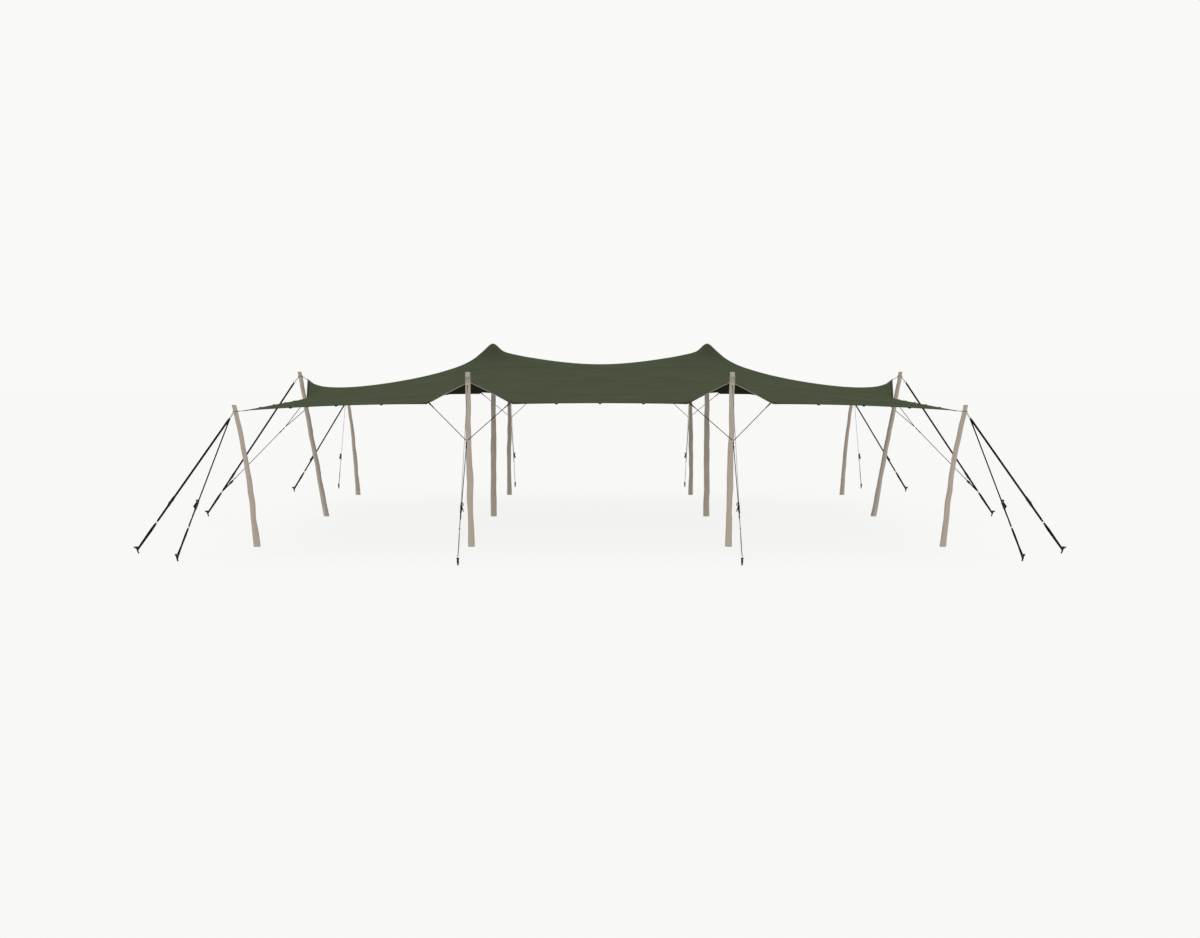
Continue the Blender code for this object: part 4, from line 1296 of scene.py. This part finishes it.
def build_floor():
    bpy.ops.mesh.primitive_plane_add(size=FLOOR_SIZE, location=(0.0, 0.0, -FLOOR_DROP))
    floor = bpy.context.object
    floor.name = "floor"
    finish = Finish("floor", 0.95, specular=0.0)
    finish.colour(FLOOR_TONE)
    finish.put(finish.shader.inputs["Emission Color"], (1.0, 1.0, 0.99))
    finish.put(finish.shader.inputs["Emission Strength"], FLOOR_GLOW)
    floor.data.materials.append(finish.material)


def build_light():
    """White walls that dim overhead, and a broad lamp high up behind the tent."""
    world = bpy.data.worlds.new("studio")
    world.use_nodes = True
    tree = world.node_tree
    where, split, ramp = (tree.nodes.new(f"ShaderNode{kind}")
                          for kind in ("TexCoord", "SeparateXYZ", "ValToRGB"))
    tree.links.new(where.outputs["Generated"], split.inputs["Vector"])
    tree.links.new(split.outputs["Z"], ramp.inputs["Fac"])
    for element, (up, level) in zip(ramp.color_ramp.elements, ((WALL_TOP, 1.0), (DIM_FROM, DIM_SHARE))):
        element.position = up
        element.color = (level, level, level * 0.99, 1.0)
    back = tree.nodes["Background"]
    tree.links.new(ramp.outputs["Color"], back.inputs["Color"])
    back.inputs["Strength"].default_value = WALL_LIGHT
    bpy.context.scene.world = world
    lamp = bpy.data.lights.new("soft_key", "SUN")
    lamp.energy = LAMP_POWER
    lamp.angle = LAMP_SPREAD
    key = bpy.data.objects.new("soft_key", lamp)
    key.rotation_euler = (-LAMP_BEHIND, 0.0, 0.0)
    bpy.context.scene.collection.objects.link(key)
    bpy.context.scene.view_settings.view_transform = "Standard"


LEFT_RIGHT = {"left": -1, "right": 1}
FRONT_BACK = {"front": -1, "back": 1}


def build_poles():
    """Every pole, each with a stem of its own."""
    poles = {}
    seed = 11
    for hand in LEFT_RIGHT:
        names = [f"king_pole_{hand}", f"side_pole_{hand}"]
        names += [f"{end}_pole_{hand}" for end in FRONT_BACK]
        names += [f"corner_pole_{end}_{hand}" for end in FRONT_BACK]
        for node in names:
            seed += 1
            poles[node] = Pole(node, seed, node.startswith("king"))
            poles[node].build(node)
    return poles


def strap_and_stake(name, ring, handle_side):
    foot, top = stake_ends(f"stake_{name}")
    guy_strap(name, ring, foot, top, handle_side)
    ground_stake(f"stake_{name}", foot, top)


def build_place(name, node, out, tip, feet, handle_side):
    """Rope, strap, stake and bridle of a side or end pole."""
    wrap = TIP_HEIGHT + WRAP_ABOVE_TIP
    ring = np.array((*Canopy.bar_at(node, wrap), wrap)) + out * RING_OUT - UP * RING_DROP
    head_rope(name, POLES[node], wrap, out, ring, np.cross(UP, out), tip)
    strap_and_stake(name, ring, handle_side)
    foot, top = stake_ends(f"stake_{name}")
    lean = (top - foot) / (top[2] - foot[2])
    bridle(f"bridle_{name}", ring, foot + lean * SLING_AT_STAKE, feet)


def build_corner(end, hand, out, tip, handle_sides):
    """Rope, two straps and two stakes of a corner pole."""
    name, node = f"corner_{end}_{hand}", f"corner_pole_{end}_{hand}"
    wrap = CORNER_HEIGHT + WRAP_AT_CORNER
    ring = np.array((*Canopy.bar_at(node, wrap), wrap)) + out * CORNER_RING_OUT - UP * CORNER_RING_DROP
    runs = [stake_ends(f"stake_{name}_{away}")[0] - ring for away in handle_sides]
    head_rope(name, POLES[node], wrap, out, ring, np.cross(*runs), tip)
    for away, handle_side in handle_sides.items():
        strap_and_stake(f"{name}_{away}", ring, handle_side)


build_camera()
build_floor()
build_light()
POLES = build_poles()
for hand in LEFT_RIGHT:
    king_cap(hand)

king_low, king_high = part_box("king_head_right")
canopy = Canopy("corner_pole_back_right", "side_pole_right", "back_pole_right",
                (king_low[0] + king_high[0]) / 2, king_high[2])
cloth_mesh = canopy.surface()
work = bmesh.new()
work.from_mesh(cloth_mesh)
cloth_tree = BVHTree.FromBMesh(work)
work.free()
rim_points, rim_inward, rim_along = edge_loop(cloth_mesh)
cloth = build_canopy(cloth_mesh)
on_it = [build_hem(rim_points, rim_inward, rim_along), build_seams(canopy, cloth_tree),
         build_patches(canopy, cloth_tree), build_piping(rim_points, rim_inward),
         build_loops(cloth_tree, loop_spots(canopy))]

tabs = Shape()
for hand, sx in LEFT_RIGHT.items():
    out = np.array((sx, 0.0, 0.0))
    tip = np.array((sx * canopy.side_tip, 0.0, TIP_HEIGHT))
    inset = canopy.side_edge(GABLE_HALF)[0] - BRIDLE_INSET
    feet = [on_cloth(cloth_tree, sx * inset, sy * GABLE_HALF)[0] for sy in (-1, 1)]
    tip_tab(tabs, tip, out, cloth_tree)
    build_place(f"side_{hand}", f"side_pole_{hand}", out, tip, feet, (0.0, 1.0, 0.0))
    for end, sy in FRONT_BACK.items():
        out = np.array((0.0, sy, 0.0))
        tip = np.array((sx * canopy.king_x, sy * canopy.end_tip, TIP_HEIGHT))
        inset = canopy.end_edge(canopy.king_x + GABLE_HALF)[0] - BRIDLE_INSET
        half = GABLE_HALF - BRIDLE_INSET
        feet = [on_cloth(cloth_tree, sx * (canopy.king_x + step), sy * inset)[0] for step in (-half, half)]
        tip_tab(tabs, tip, out, cloth_tree)
        build_place(f"{end}_{hand}", f"{end}_pole_{hand}", out, tip, feet, (-sx, 0.0, 0.0))
        out = unit((sx, sy, 0.0))
        tip = np.array((sx * canopy.corner_x, sy * canopy.corner_y, CORNER_HEIGHT))
        tip_tab(tabs, tip, out, cloth_tree)
        build_corner(end, hand, out, tip, {"side": (0.0, -sy, 0.0), "end": (sx, 0.0, 0.0)})
on_it.append(tabs.piece("tip_tabs", [BLACK_WEB]))
